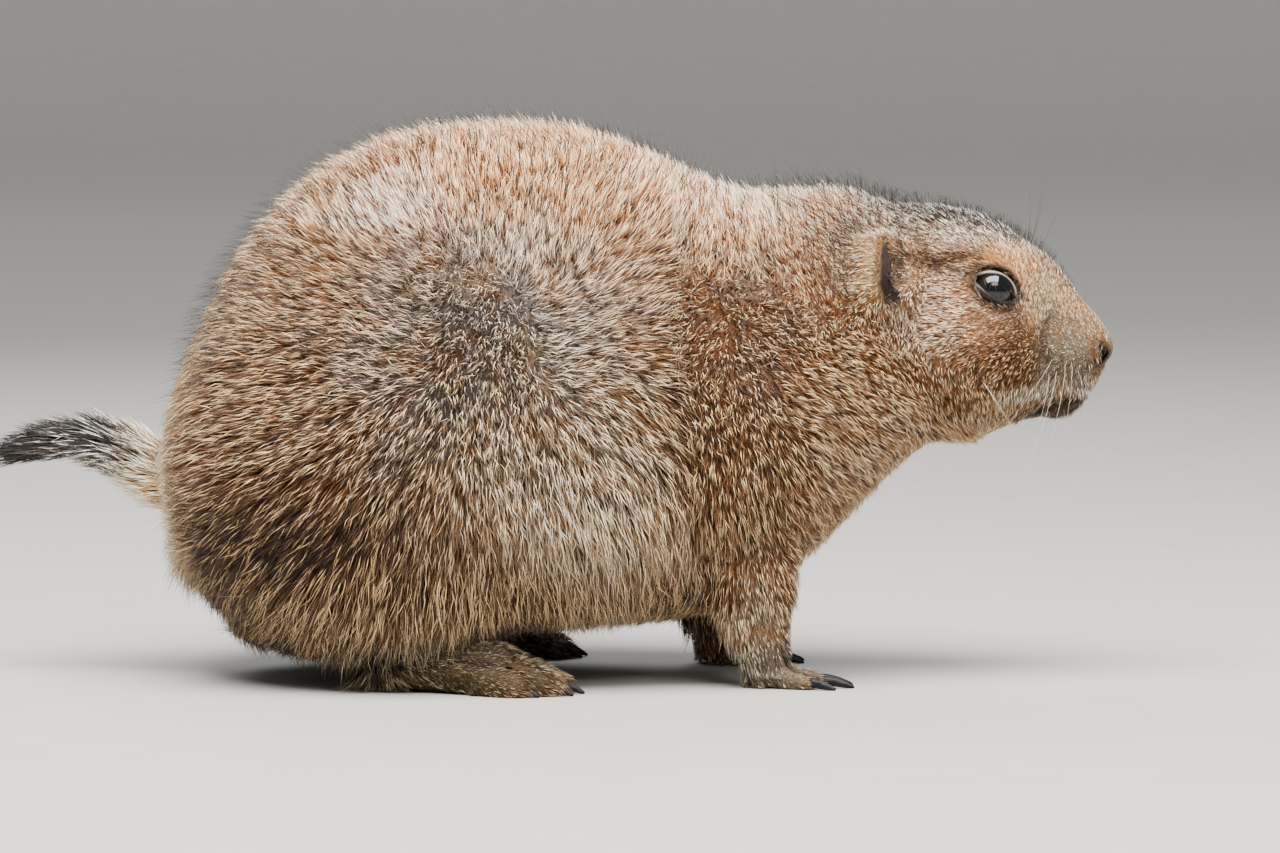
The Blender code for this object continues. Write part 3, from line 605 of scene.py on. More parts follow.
def foldsAt(points):
    # depth in mm, darkness and bareness of the folds at each point: the darkness is painted shade in the
    # folds, and the dark skin round the eye
    places = folded(points)
    depth, dark, bare = np.zeros((3, len(points)))
    for line, wide, deep, shade, none, side, flat in foldLines:
        reach = 3 * wide + 9 * (1 - flat)
        box = (places > line.min(0) - reach).all(1) & (places < line.max(0) + reach).all(1)
        if side:
            box &= points[:, 1] * side > 0
        near = np.flatnonzero(box)
        if len(near):
            close = np.exp(-(awayFromLine(places[near] * flat, line * flat) / wide) ** 2)
            depth[near] = np.maximum(depth[near], deep * close)
            dark[near] = np.maximum(dark[near], shade * np.minimum(1, close * (1 + 1.2 * none)))
            bare[near] = np.maximum(bare[near], none * close)
    # the dark bare skin round the eye, where the lids meet it
    dark = np.maximum(dark, 0.85 * (1 - step(fromEye(places), 1.12, 1.42)))
    return depth, dark, bare


def lipAt(points):
    return np.exp(-(awayFromLine(folded(points), lipLine) / 2.0) ** 4)


def sculpt():
    points, normals = coordinates(skinObject), normalsOf(skinObject)
    depth, dark, _ = foldsAt(points)
    places = folded(points)
    for place, reach, height in swellings.values():
        middle = foldedLine([place])[0]
        depth -= height * np.exp(-(np.linalg.norm(places - middle, axis=1) / reach) ** 2)
    moved = points - normals * depth[:, None] * mm
    moved[:, 2] = np.maximum(moved[:, 2], np.minimum(points[:, 2], 0))
    setCoordinates(skinObject, moved)
    # painted shade in the skin's folds, and the dark skin round the eye
    mark(skinObject, "dim", dark)
    mark(skinObject, "lip", lipAt(points))


def folded(points):
    # millimetres, with the left half of the animal laid over the right one
    return np.column_stack([points[:, 0], -np.abs(points[:, 1]), points[:, 2]]) / mm


skinTree = skinSurface()
foldLines = placeFolds()
lipLine = foldedLine(lowerLip)
sculpt()
print("folds:", len(foldLines))

# how the hair lies

# each row: place in the picture (px, py) on the near flank, which way the hair runs there
# (right, up), its length in mm, how far it stands up (0 flat to 1 upright), its width in mm,
# hairs to a square millimetre, how untidy it is
lieSeen = {
    "nose bridge": (1090, 318, -0.6, 0.8, 1.5, 0.3, 0.19, 9.5, 0.12),
    "lip fringe": (1074, 392, 0.05, -1.0, 2.63, 0.45, 0.21, 4.8, 0.3),
    "neck seam": (902, 338, -0.3, -0.6, 4.25, 0.72, 0.25, 6.8, 0.6),
    "ear seam": (858, 322, -0.4, -0.4, 4.2, 0.8, 0.24, 4.6, 0.6),
    "nose side": (1078, 340, -0.85, 0.3, 1.5, 0.3, 0.19, 9.5, 0.12),
    "whisker pad": (1062, 360, -0.8, -0.45, 1.88, 0.35, 0.21, 8.8, 0.2),
    "upper lip": (1086, 380, 0.0, -1.0, 2.75, 0.4, 0.21, 8.1, 0.2),
    "lip corner": (1045, 398, -0.5, -0.85, 3, 0.4, 0.23, 7.4, 0.2),
    "chin": (1050, 412, -0.45, -0.85, 2.75, 0.4, 0.23, 7.4, 0.2),
    "before eye": (1040, 300, -0.45, 0.9, 1.88, 0.3, 0.21, 8.8, 0.15),
    "brow": (1000, 255, -0.9, 0.45, 2.25, 0.35, 0.23, 8.1, 0.15),
    "forehead": (1050, 258, -0.7, 0.7, 2.75, 0.45, 0.23, 8.1, 0.18),
    "crown": (985, 218, -0.95, 0.3, 5, 0.5, 0.25, 6.1, 0.2),
    "under eye": (995, 318, -0.95, -0.15, 2.25, 0.4, 0.23, 8.1, 0.35),
    "cheek": (935, 312, -1.0, 0.05, 3.75, 0.38, 0.25, 6.8, 0.35),
    "behind eye": (940, 268, -0.95, -0.1, 3, 0.4, 0.25, 7.4, 0.35),
    "cheek patch": (1012, 360, -0.9, -0.35, 3, 0.45, 0.25, 7.4, 0.35),
    "jaw": (985, 405, 0.2, -0.95, 4, 0.45, 0.25, 6.2, 0.35),
    "cheek low": (940, 385, 0.35, -0.93, 3.31, 0.66, 0.24, 4.6, 0.4),
    "cheek rear": (895, 355, 0.5, -0.6, 3.44, 0.8, 0.24, 5.1, 0.6),
    "throat": (935, 425, 0.7, -0.7, 5.5, 0.6, 0.26, 4, 0.35),
    "ear pocket front": (899, 284, -0.9, 0.1, 1.3, 0.3, 0.23, 7.0, 0.25),
    "ear front": (900, 262, -0.95, 0.2, 1.24, 0.3, 0.23, 7.4, 0.3),
    "ear back": (868, 262, -0.8, -0.3, 2.75, 0.3, 0.23, 6.8, 0.15),
    "above ear": (880, 215, -0.9, 0.4, 4, 0.45, 0.24, 4.4, 0.2),
    "nape": (800, 196, -0.45, 0.85, 6.5, 0.8, 0.26, 3.3, 0.3),
    "behind ear": (828, 285, -0.5, 0.5, 4.58, 0.84, 0.26, 3.9, 0.55),
    "neck": (855, 335, 0.75, -0.4, 4.47, 0.84, 0.26, 4, 0.62),
    "neck low": (885, 400, 0.85, -0.55, 5.38, 0.8, 0.26, 3.9, 0.55),
    "chest": (850, 470, 0.75, -0.65, 6.45, 0.76, 0.27, 3.2, 0.42),
    "furrow top": (690, 225, 0.15, 0.95, 7.5, 0.82, 0.26, 2.6, 0.35),
    "furrow": (700, 330, -0.55, -0.55, 6, 0.84, 0.26, 2.8, 0.6),
    "shoulder top": (745, 240, -0.3, 0.9, 6.8, 0.82, 0.26, 2.8, 0.4),
    "shoulder": (768, 335, 0.2, -0.4, 6.2, 0.9, 0.26, 2.9, 0.8),
    "shoulder front": (815, 395, 0.75, -0.6, 6.07, 0.82, 0.26, 3.2, 0.58),
    "shoulder low": (745, 430, 0.1, -0.95, 6.44, 0.82, 0.27, 2.8, 0.6),
    "upper arm": (740, 490, 0.1, -1.0, 7.18, 0.7, 0.27, 2.8, 0.48),
    "arm front": (810, 520, 0.6, -0.8, 6.3, 0.68, 0.26, 3.1, 0.45),
    "armpit": (682, 510, -0.05, -1.0, 10.5, 0.48, 0.29, 2.4, 0.28),
    "elbow": (705, 590, -0.55, -0.8, 13.5, 0.42, 0.29, 3.2, 0.35),
    "elbow hem": (692, 610, -0.65, -0.7, 12.5, 0.36, 0.29, 3.4, 0.35),
    "forearm": (757, 575, 0.15, -1.0, 4.6, 0.38, 0.26, 3.5, 0.2),
    "forearm front": (790, 570, 0.5, -0.85, 5, 0.5, 0.24, 3.3, 0.3),
    "wrist": (768, 640, 0.1, -1.0, 2.6, 0.3, 0.24, 5, 0.15),
    "ribs top": (640, 210, 0.45, 0.8, 7.4, 0.84, 0.26, 2.6, 0.35),
    "ribs": (645, 290, 0.9, 0.35, 7.25, 0.87, 0.27, 2.5, 0.48),
    "ribs side": (652, 355, 0.95, -0.2, 7.73, 0.83, 0.27, 2.6, 0.52),
    "ribs under": (645, 430, 0.6, -0.8, 8.84, 0.74, 0.29, 2.4, 0.5),
    "ribs low": (640, 510, 0.25, -1.0, 12.1, 0.56, 0.27, 2.6, 0.45),
    "flank top": (545, 240, 0.1, 0.95, 7.4, 0.88, 0.26, 2.5, 0.45),
    "flank": (490, 340, -0.05, -0.3, 7.2, 0.93, 0.27, 2.6, 0.9),
    "flank front": (575, 330, 0.9, 0.1, 7.6, 0.9, 0.27, 2.5, 0.7),
    "flank under": (500, 430, 0.05, -1.0, 8.73, 0.82, 0.29, 2.4, 0.6),
    "flank low": (520, 500, 0.05, -1.0, 11.6, 0.62, 0.27, 2.6, 0.5),
    "flank hem": (590, 575, 0.15, -1.0, 14.5, 0.4, 0.28, 2.6, 0.42),
    "haunch": (385, 340, -0.85, -0.05, 7.49, 0.9, 0.27, 2.5, 0.6),
    "haunch rear": (300, 390, -0.9, -0.35, 8, 0.82, 0.29, 2.4, 0.5),
    "haunch under": (395, 450, -0.5, -0.85, 8.93, 0.78, 0.29, 2.4, 0.55),
    "haunch low": (420, 540, -0.2, -1.0, 12.1, 0.56, 0.27, 2.6, 0.48),
    "hem": (440, 590, -0.05, -1.0, 17, 0.38, 0.27, 2.8, 0.42),
    "hem over foot": (425, 635, 0.05, -1.0, 19, 0.34, 0.25, 4.1, 0.28),
    "hem over heel": (375, 645, -0.1, -1.0, 17, 0.34, 0.25, 3.9, 0.28),
    "hem rear": (350, 620, -0.35, -0.93, 15, 0.4, 0.28, 2.7, 0.4),
    "back side": (470, 165, -0.1, 0.95, 7.4, 0.87, 0.26, 2.6, 0.32),
    "back side rear": (350, 205, -0.55, 0.75, 7.8, 0.84, 0.26, 2.6, 0.35),
    "rump high": (275, 290, -0.92, 0.15, 7.73, 0.84, 0.27, 2.6, 0.42),
    "rump side": (235, 420, -0.92, -0.35, 8.28, 0.76, 0.29, 2.5, 0.42),
    "rump low": (290, 530, -0.65, -0.75, 10.9, 0.62, 0.27, 2.7, 0.46),
    "rump hem": (270, 610, -0.55, -0.83, 12.5, 0.42, 0.27, 2.7, 0.3),
}
# the same for places that the picture hides: x, y, z in mm and the way in space
lieHidden = {
    "nose top": ((152, -2, 100), (-0.8, 0, 0.5), 1.0, 0.3, 0.2, 7.0, 0.1),
    "forehead middle": ((140, 0, 117), (-0.8, 0, 0.5), 2.0, 0.45, 0.24, 6.0, 0.15),
    "crown middle": ((112, 0, 133), (-1, 0, 0.2), 4.0, 0.55, 0.26, 4.5, 0.2),
    "nape middle": ((78, 0, 138), (-1, 0, 0), 6.5, 0.76, 0.32, 3.0, 0.25),
    "withers": ((45, 0, 138), (-1, 0, 0), 7.2, 0.84, 0.32, 2.4, 0.3),
    "back": ((-5, 0, 152), (-1, 0, 0), 7.6, 0.88, 0.32, 2.2, 0.3),
    "back rear": ((-55, 0, 148), (-1, 0, -0.2), 8.0, 0.84, 0.32, 2.2, 0.3),
    "rump top": ((-90, 0, 112), (-0.6, 0, -0.8), 9.0, 0.68, 0.38, 2.0, 0.3),
    "rump middle": ((-108, 0, 75), (-0.8, 0, -0.35), 10.5, 0.62, 0.38, 2.0, 0.25),
    "rump under": ((-98, 0, 25), (-0.2, 0, -1), 11.0, 0.44, 0.42, 1.9, 0.25),
    "belly": ((-30, 0, 12), (-1, 0, 0), 9.0, 0.3, 0.46, 1.2, 0.3),
    "belly front": ((25, 0, 16), (-1, 0, 0), 9.0, 0.3, 0.44, 1.3, 0.3),
    "breast": ((66, 0, 36), (-0.5, 0, -0.85), 8.0, 0.45, 0.42, 2.0, 0.25),
    "throat middle": ((100, 0, 66), (-1, 0, -0.2), 5.0, 0.4, 0.32, 3.5, 0.25),
    "chin middle": ((138, 0, 73), (-1, 0, -0.2), 2.2, 0.4, 0.24, 5.5, 0.2),
    "lip middle": ((154, 0, 83), (0.1, 0, -1), 1.8, 0.35, 0.2, 6.0, 0.15),
    "inner arm": ((58, -24, 25), (0, 0, -1), 4.5, 0.3, 0.34, 2.6, 0.2),
    "sole": ((64, -31, 0.3), (1, 0, 0), 0.5, 0.2, 0.15, 0.0, 0.1),
    "heel": ((-40, -44, 0.3), (1, 0, 0), 0.5, 0.2, 0.15, 0.0, 0.1),
    "palm front": ((70, -30, 0.2), (1, 0, 0), 0.5, 0.2, 0.15, 0.0, 0.1),
    "inner thigh": ((-30, -30, 9), (-0.3, 0, -1), 6.0, 0.3, 0.4, 1.6, 0.2),
    "heel side": ((-48, -38, 7), (0.8, 0, -0.5), 2.6, 0.26, 0.28, 4.0, 0.15),
    "hock": ((-36, -44, 12), (0.9, 0, -0.3), 2.2, 0.24, 0.26, 5.0, 0.15),
    "instep": ((-22, -45, 11), (1, 0, -0.3), 2.0, 0.24, 0.22, 8.0, 0.2),
    "instep outside": ((-28, -53, 6), (1, 0, -0.2), 2.0, 0.24, 0.22, 8.0, 0.2),
    "instep inside": ((-28, -36, 6), (1, 0, -0.2), 2.0, 0.24, 0.22, 7.0, 0.2),
    "hind toes": ((-9, -48, 6), (1, 0, -0.3), 1.6, 0.2, 0.2, 10.0, 0.15),
    "hind toes outside": ((-12, -57, 4), (1, -0.2, -0.2), 1.6, 0.2, 0.2, 10.0, 0.15),
    "wrist over": ((60, -32, 10), (0.6, 0, -0.8), 1.8, 0.22, 0.24, 5.0, 0.12),
    "hand": ((65, -31, 6.5), (1, 0, -0.35), 1.8, 0.25, 0.22, 9.0, 0.2),
    "fingers": ((71, -31, 4.5), (1, 0, -0.3), 1.5, 0.22, 0.2, 11.0, 0.15),
    "hand outside": ((64, -40, 3.5), (1, -0.1, -0.2), 1.6, 0.22, 0.2, 10.0, 0.15),
    "tail root over": ((-103, 0, 62), (-0.9, 0, 0.35), 12.0, 0.5, 0.34, 4.0, 0.3),
    "tail root under": ((-103, 0, 44), (-0.9, 0, -0.4), 16.0, 0.6, 0.34, 4.0, 0.3),
    "tail root left": ((-104, 7, 54), (-0.9, 0.1, 0.1), 12.5, 0.5, 0.34, 4.0, 0.3),
    "tail root right": ((-104, -7, 54), (-0.9, 0.1, 0.1), 12.5, 0.5, 0.34, 4.0, 0.3),
    "rump over tail": ((-98, -3, 69), (-1, 0, -0.3), 12.5, 0.52, 0.32, 3.4, 0.3),
    "rump beside tail": ((-98, -12, 53), (-1, 0, -0.15), 12.5, 0.46, 0.32, 3.4, 0.3),
    "rump under tail": ((-99, -3, 38), (-0.75, 0, -0.65), 16.0, 0.66, 0.32, 3.2, 0.3),
    "tail over": ((-118, 4, 68), (-0.88, 0.35, 0.33), 12.0, 0.42, 0.34, 4.2, 0.25),
    "tail under": ((-118, 4, 57), (-0.88, 0.35, 0.1), 14.0, 0.4, 0.34, 4.2, 0.25),
    "tail left": ((-118, 9, 62), (-0.88, 0.4, 0.33), 11.0, 0.34, 0.38, 3.6, 0.15),
    "tail right": ((-118, 0, 62), (-0.88, 0.4, 0.33), 11.0, 0.34, 0.38, 3.6, 0.15),
    "tail middle": ((-132, 10, 67), (-0.88, 0.45, -0.05), 14.0, 0.24, 0.36, 4.4, 0.12),
    "tail middle under": ((-132, 10, 62), (-0.88, 0.45, -0.05), 14.0, 0.24, 0.36, 4.4, 0.12),
    "tail end": ((-146, 18, 63), (-0.86, 0.44, -0.2), 15.5, 0.1, 0.3, 7.5, 0.08),
}


skinTree = skinSurface()


lie = {"turnWeight": 0.03, "evenOut": 4e-6, "atOnce": 20000}  # how the guides' shares are worked out


def collectGuides():
    # where each guide stands, with the way that the skin faces there, and what it says
    features, values = [], []
    for px, py, right, up, *rest in lieSeen.values():
        point, normal = seenAt(px, py)
        features.append([*point, *(normal * lie["turnWeight"])])
        values.append([right, 0.0, up, *rest])
    for place, way, *rest in lieHidden.values():
        point, normal, _, _ = skinTree.find_nearest(Vector(place) * mm)
        left = np.array([1, -1 if place[1] > 0 else 1, 1])
        features.append([*(np.array(point) * left), *(np.array(normal) * lie["turnWeight"] * left)])
        values.append([*(np.array(way) * left), *rest])
    features, values = np.array(features), np.array(values)
    values[:, :3] /= np.linalg.norm(values[:, :3], axis=1)[:, None]
    return features, values


guideFeatures, guideValues = collectGuides()


def lieAt(points, normals):
    # way, length, lift, width, number and untidiness of the hair at each point, from the guides nearby
    side = np.where(points[:, 1] > 0, 1.0, -1.0)
    places = np.hstack([points, normals * lie["turnWeight"]])
    places[:, [1, 4]] *= -side[:, None]
    out = np.empty((len(points), guideValues.shape[1]))
    for first in range(0, len(points), lie["atOnce"]):
        chunk = slice(first, first + lie["atOnce"])
        away = ((places[chunk, None] - guideFeatures[None]) ** 2).sum(2)
        share = 1.0 / (away + lie["evenOut"]) ** 2
        out[chunk] = (share @ guideValues) / share.sum(1)[:, None]
    return out


# coat

coat = {
    "seed": 11,
    "underShare": 0.30,  # of the hairs, those that are short, broad and close to the skin
    "strandShare": 0.24,  # those that are long, and widest near the tip
    "dense": 0.892,
    "straightShare": 0.55,  # of the hairs that stand up, those with no bend
    "straightUnder": 3.0,  # hairs shorter than this, in mm, have no bend
    "uprightOver": 0.55,
    "lengths": (0.74, 1.12),  # the least and most of a guide's length and lift
    "lifts": (0.78, 1.15),
    "stray": 0.52,
    "clumpEvery": 14,  # hairs to a clump
    "clumpPull": 0.36,
    "wavy": 0.045,
    "rootDepth": 0.0004,
    "most": 195000,  # triangles in one piece
    "thin": 1.0,
}
coatParts = {  # each part of the coat, from where to where along the body, in mm
    "rump": (-200, -84),
    "haunch": (-84, -57),
    "loin": (-57, -30),
    "flank": (-30, -3),
    "ribs": (-3, 24),
    "shoulder": (24, 50),
    "neck": (50, 78),
    "cheek": (78, 108),
    "face": (108, 200),
}


def trianglesOf(obj):
    mesh = obj.data
    mesh.calc_loop_triangles()
    corners = np.empty(len(mesh.loop_triangles) * 3, np.int32)
    mesh.loop_triangles.foreach_get("vertices", corners)
    return corners.reshape(-1, 3)


def unit(rows):
    return rows / (np.linalg.norm(rows, axis=1)[:, None] + 1e-9)


def scatter(rng, wanted):
    # random roots on the skin, wanted(points, normals) of them to a square millimetre
    points, normals, corners = coordinates(skinObject), normalsOf(skinObject), trianglesOf(skinObject)
    a, b, c = (points[corners[:, k]] for k in range(3))
    area = np.linalg.norm(np.cross(b - a, c - a), axis=1) / 2 / mm / mm
    weight = area * wanted((a + b + c) / 3, unit(normals[corners].mean(1)))
    total = int(weight.sum() * coat["thin"] * coat["dense"])
    chosen = np.searchsorted(np.cumsum(weight) / weight.sum(), rng.random(total))
    chosen = corners[np.minimum(chosen, len(corners) - 1)]
    u, v = rng.random(total), rng.random(total)
    fold = u + v > 1
    u[fold], v[fold] = 1 - u[fold], 1 - v[fold]
    share = np.column_stack([1 - u - v, u, v])[:, :, None]
    return (points[chosen] * share).sum(1), unit((normals[chosen] * share).sum(1))


def bareAt(points):
    # true where no hair grows: round the eyeball, in the deep folds, on the lips, the nose and the soles
    places = folded(points)
    bare = fromEye(places) < 1
    bare |= np.linalg.norm(places - np.array((156, -1.0, 91.5)), axis=1) < 3.7
    bare |= foldsAt(points)[2] > 0.55
    bare |= lipAt(points) > 0.5
    return bare | (places[:, 2] < 1.0)


def combed(rng, where, normal, way, spread):
    # the hairs' ways along the skin, mirrored on the left side and strewn at random
    way = way.copy()
    way[:, 1] *= np.where(where[:, 1] > 0, -1, 1)
    way = unit(way + rng.normal(0, 1, way.shape) * spread)
    return unit(way - normal * (way * normal).sum(1)[:, None])


def hairLine(where, normal, way, length, lift, knee):
    # root, bend and tip of each hair: it leaves the skin steeply and lies down after that
    rise = np.arcsin(np.clip(lift, 0.03, 0.97))
    steep, shallow = (rise * 1.15)[:, None], (rise * 0.80)[:, None]
    bend = where + (length * knee)[:, None] * (np.cos(steep) * way + np.sin(steep) * normal)
    tip = bend + (length * (1 - knee))[:, None] * (np.cos(shallow) * way + np.sin(shallow) * normal)
    return where - normal * coat["rootDepth"], bend, tip


def clumpShift(rng, where, tip, length):
    # moves each tip towards the tip of the clump whose middle is nearest its root
    count = max(2, len(where) // coat["clumpEvery"])
    leaders = rng.choice(len(where), count, replace=False)
    tree = KDTree(count)
    for k, leader in enumerate(leaders):
        tree.insert(where[leader], k)
    tree.balance()
    chosen = leaders[[tree.find(place)[1] for place in where]]
    shift = (tip[chosen] - tip) * coat["clumpPull"]
    size = np.linalg.norm(shift, axis=1)
    return shift * np.minimum(1.0, length * 0.5 / (size + 1e-9))[:, None]


# a bent hair is a spindle: root, three points round its bend, tip. A straight one is three points
# round its root, and a tip. The patch is where its corners lie in a square of the unwrap
bentSides = np.array([(0, 1, 3), (0, 3, 2), (0, 2, 1), (4, 3, 1), (4, 2, 3), (4, 1, 2)])
bentPatch = np.array([
    (0.17, 0), (0, 0.45), (0.33, 0.45), (0.5, 0), (0.33, 0.45), (0.67, 0.45),
    (0.83, 0), (0.67, 0.45), (1, 0.45), (0.17, 1), (0.33, 0.45), (0, 0.45),
    (0.5, 1), (0.67, 0.45), (0.33, 0.45), (0.83, 1), (1, 0.45), (0.67, 0.45),
])
straightSides = np.array([(0, 2, 1), (0, 1, 3), (1, 2, 3), (2, 0, 3)])
straightPatch = np.array([
    (0.8, 0.1), (0.9, 0.0), (1, 0.1), (0, 0), (0.25, 0), (0.12, 1),
    (0.25, 0), (0.5, 0), (0.37, 1), (0.5, 0), (0.75, 0), (0.62, 1),
])


def rolledOut(start):
    # each root's place on the skin rolled out flat round the longest side of the piece
    low, high = start.min(0), start.max(0)
    middle = (low + high) / 2
    axis = int(np.argmax(high - low))
    one, two = [k for k in range(3) if k != axis]
    turn = np.arctan2(start[:, one] - middle[one], start[:, two] - middle[two])
    return np.column_stack([(start[:, axis] - low[axis]) / (high - low)[axis], turn / (2 * np.pi) + 0.5])


def hairPiece(name, hair):
    # one mesh of many hairs, each of them closed
    start, bend, tip, width = hair["start"], hair["bend"], hair["tip"], hair["width"][:, None]
    across = unit(np.cross(tip - start, hair["normal"]))
    ridge = unit(np.cross(across, tip - start))
    place = rolledOut(start)
    points, faces, patches, owners, along = [], [], [], [], []
    first = 0
    for straight, sides, patch in ((False, bentSides, bentPatch), (True, straightSides, straightPatch)):
        some = np.flatnonzero(hair["straight"] == straight)
        ring = start[some] if straight else bend[some]
        a, r, w = across[some], ridge[some], width[some]
        row = [ring + a * w * 0.5, ring - a * w * 0.5, ring + r * w * (0.5 if straight else 0.42), tip[some]]
        knee = np.full(len(some), 0.12) if straight else hair["knee"][some]
        marks = [knee, knee, knee, knee * 0 + 1]
        if not straight:
            row, marks = [start[some]] + row, [knee * 0] + marks
        size = len(row)
        points.append(np.stack(row, axis=1).reshape(-1, 3))
        faces.append((sides[None] + first + np.arange(len(some))[:, None, None] * size).reshape(-1, 3))
        patches.append((place[some][:, None, :] * 0.99 + 0.003 + patch[None] * 0.003).reshape(-1, 2))
        owners.append(np.repeat(some, size))
        along.append(np.stack(marks, axis=1).ravel())
        first += len(some) * size
    points, faces, owners, patches, along = map(np.concatenate, (points, faces, owners, patches, along))
    points[:, 2] = np.maximum(points[:, 2], 0.0003)
    mesh = bpy.data.meshes.new(name)
    mesh.vertices.add(len(points))
    mesh.vertices.foreach_set("co", points.astype(np.float32).ravel())
    mesh.loops.add(len(faces) * 3)
    mesh.loops.foreach_set("vertex_index", faces.astype(np.int32).ravel())
    mesh.polygons.add(len(faces))
    mesh.polygons.foreach_set("loop_start", np.arange(0, len(faces) * 3, 3, dtype=np.int32))
    mesh.polygons.foreach_set("use_smooth", np.ones(len(faces), bool))
    mesh.update(calc_edges=True)
    obj = linked(name, mesh)
    for label in ("pick", "under", "dim"):
        mark(obj, label, hair[label][owners])
    mark(obj, "along", along)
    mesh.uv_layers.new(name="OFBake").data.foreach_set("uv", patches.astype(np.float32).ravel())
    print(name, len(start), "hairs,", len(faces), "triangles")
    return obj


def hairsWanted(points, normals):
    return np.where(bareAt(points), 0, lieAt(points, normals)[:, 6])


def growCoat():
    rng = np.random.default_rng(coat["seed"])
    where, normal = scatter(rng, hairsWanted)
    keep = ~bareAt(where)
    where, normal = where[keep], normal[keep]
    count = len(where)
    values = lieAt(where, normal)
    chance = rng.random(count)
    strand = (chance < coat["strandShare"]).astype(float)
    under = (rng.random(count) < coat["underShare"] / (1 - coat["strandShare"])) * (1.0 - strand)
    length = values[:, 3] * mm * rng.uniform(*coat["lengths"], count) * (1 + 0.12 * strand - 0.35 * under)
    lift = values[:, 4] * rng.uniform(*coat["lifts"], count) * (1 - 0.22 * under)
    knee = 0.40 + 0.20 * strand
    way = combed(rng, where, normal, values[:, :3], coat["stray"] * values[:, 7:])
    start, bend, tip = hairLine(where, normal, way, length, lift, knee)
    shift = clumpShift(rng, where, tip, length)
    aside = unit(np.cross(tip - start, normal)) * (length * rng.normal(0, coat["wavy"], count))[:, None]
    upright = (values[:, 4] > coat["uprightOver"]) & (strand < 0.5)
    upright &= rng.random(count) < coat["straightShare"]
    hair = {
        "normal": normal,
        "start": start,
        "bend": bend + shift * knee[:, None] * 0.8 + aside,
        "tip": tip + shift,
        "width": values[:, 5] * mm * (1 - 0.20 * strand + 0.5 * under),
        "knee": knee,
        "straight": (under > 0.5) | (length < coat["straightUnder"] * mm) | upright,
        "pick": chance,
        "under": under,
        # hairs that grow in the folds get the painted shade too
        "dim": foldsAt(where)[1],
    }
    made = []
    for name, (low, high) in coatParts.items():
        part = np.flatnonzero((where[:, 0] >= low * mm) & (where[:, 0] < high * mm))
        triangles = 6 * len(part) - 2 * hair["straight"][part].sum()
        sets = np.array_split(part, math.ceil(triangles / coat["most"]))
        for k, some in enumerate(sets):
            label = "coat_" + name + ("" if len(sets) == 1 else "_%d" % (k + 1))
            made.append(hairPiece(label, {what: numbers[some] for what, numbers in hair.items()}))
    return made


guard = {
    "seed": 5,
    "perSquareMm": 0.26,
    "long": 11.6,
    "crownLong": 6.6,
    "lengths": (0.75, 1.2),
    "wide": 0.20,
    "lift": 0.92,
    "lifts": (0.85, 1.1),
    "stray": 0.3,
    "knee": 0.55,
}


def guardsWanted(points, normals):
    # most of them where the coat looks up, and on neck and crown, but none at the nose
    x, _, z = folded(points).T
    upward = step(normals[:, 2] - 0.5 * np.minimum(normals[:, 0], 0), 0.0, 0.75)
    fading = (1 - step(x, 138, 150)) * (1 + 1.4 * step(x, 55, 80))
    return np.where(bareAt(points), 0, guard["perSquareMm"] * upward * step(z, 70, 115) * fading)


def growGuardHairs():
    # the fine black hairs that stand out of the coat along the back, the nape and the crown
    rng = np.random.default_rng(guard["seed"])
    where, normal = scatter(rng, guardsWanted)
    count, x = len(where), where[:, 0] / mm
    way = combed(rng, where, normal, lieAt(where, normal)[:, :3], guard["stray"])
    long = guard["long"] + (guard["crownLong"] - guard["long"]) * step(x, 80, 115) - 4.0 * step(x, 125, 145)
    length = long * rng.uniform(*guard["lengths"], count) * mm
    lift = guard["lift"] * rng.uniform(*guard["lifts"], count)
    knee, none = np.full(count, guard["knee"]), np.zeros(count)
    start, bend, tip = hairLine(where, normal, way, length, lift, knee)
    hair = {"normal": normal, "start": start, "bend": bend, "tip": tip, "knee": knee}
    hair.update(width=np.full(count, guard["wide"] * mm), straight=none > 0, under=none, dim=none)
    hair["pick"] = rng.random(count)
    return hairPiece("guard_hairs", hair)


coatPieces = growCoat()
guardPiece = growGuardHairs()

# eyes and lids


def addEye(side, name):
    middle, long, short, outward = eyeFrame(side)
    bpy.ops.object.select_all(action="DESELECT")
    bpy.ops.mesh.primitive_uv_sphere_add(segments=48, ring_count=32, radius=1.0)
    ball = bpy.context.object
    ball.name = ball.data.name = name
    points = coordinates(ball)
    radius = eyes["radius"] * (1 + 0.05 * step(points[:, 2], 0.55, 0.95))  # the cornea stands out a little
    setCoordinates(ball, (middle + points @ np.array([long, short, outward]) * radius[:, None]) * mm)
    mark(ball, "gaze", points[:, 2])
    return outwardFaces(ball)


lids = {
    "half": (5.9, 3.35),  # half the opening's length and height, in mm
    "pointed": 0.38,
    # each ring: how far outside the opening's edge, how far over the eyeball or over the skin, how pale: the
    # lid margin's pale rim with a painted highlight
    "rings": [(-0.3, -1.6, 0.0), (-0.12, 0.05, 0.0), (0.0, 0.3, 0.0), (0.22, 0.42, 0.0), (0.5, 0.42, 0.9),
              (0.85, 0.28, 0.7), (1.2, 0.05, 0.0), (1.6, -0.35, 0.0), (2.0, -1.8, 0.0)],
    "turns": 80,
}


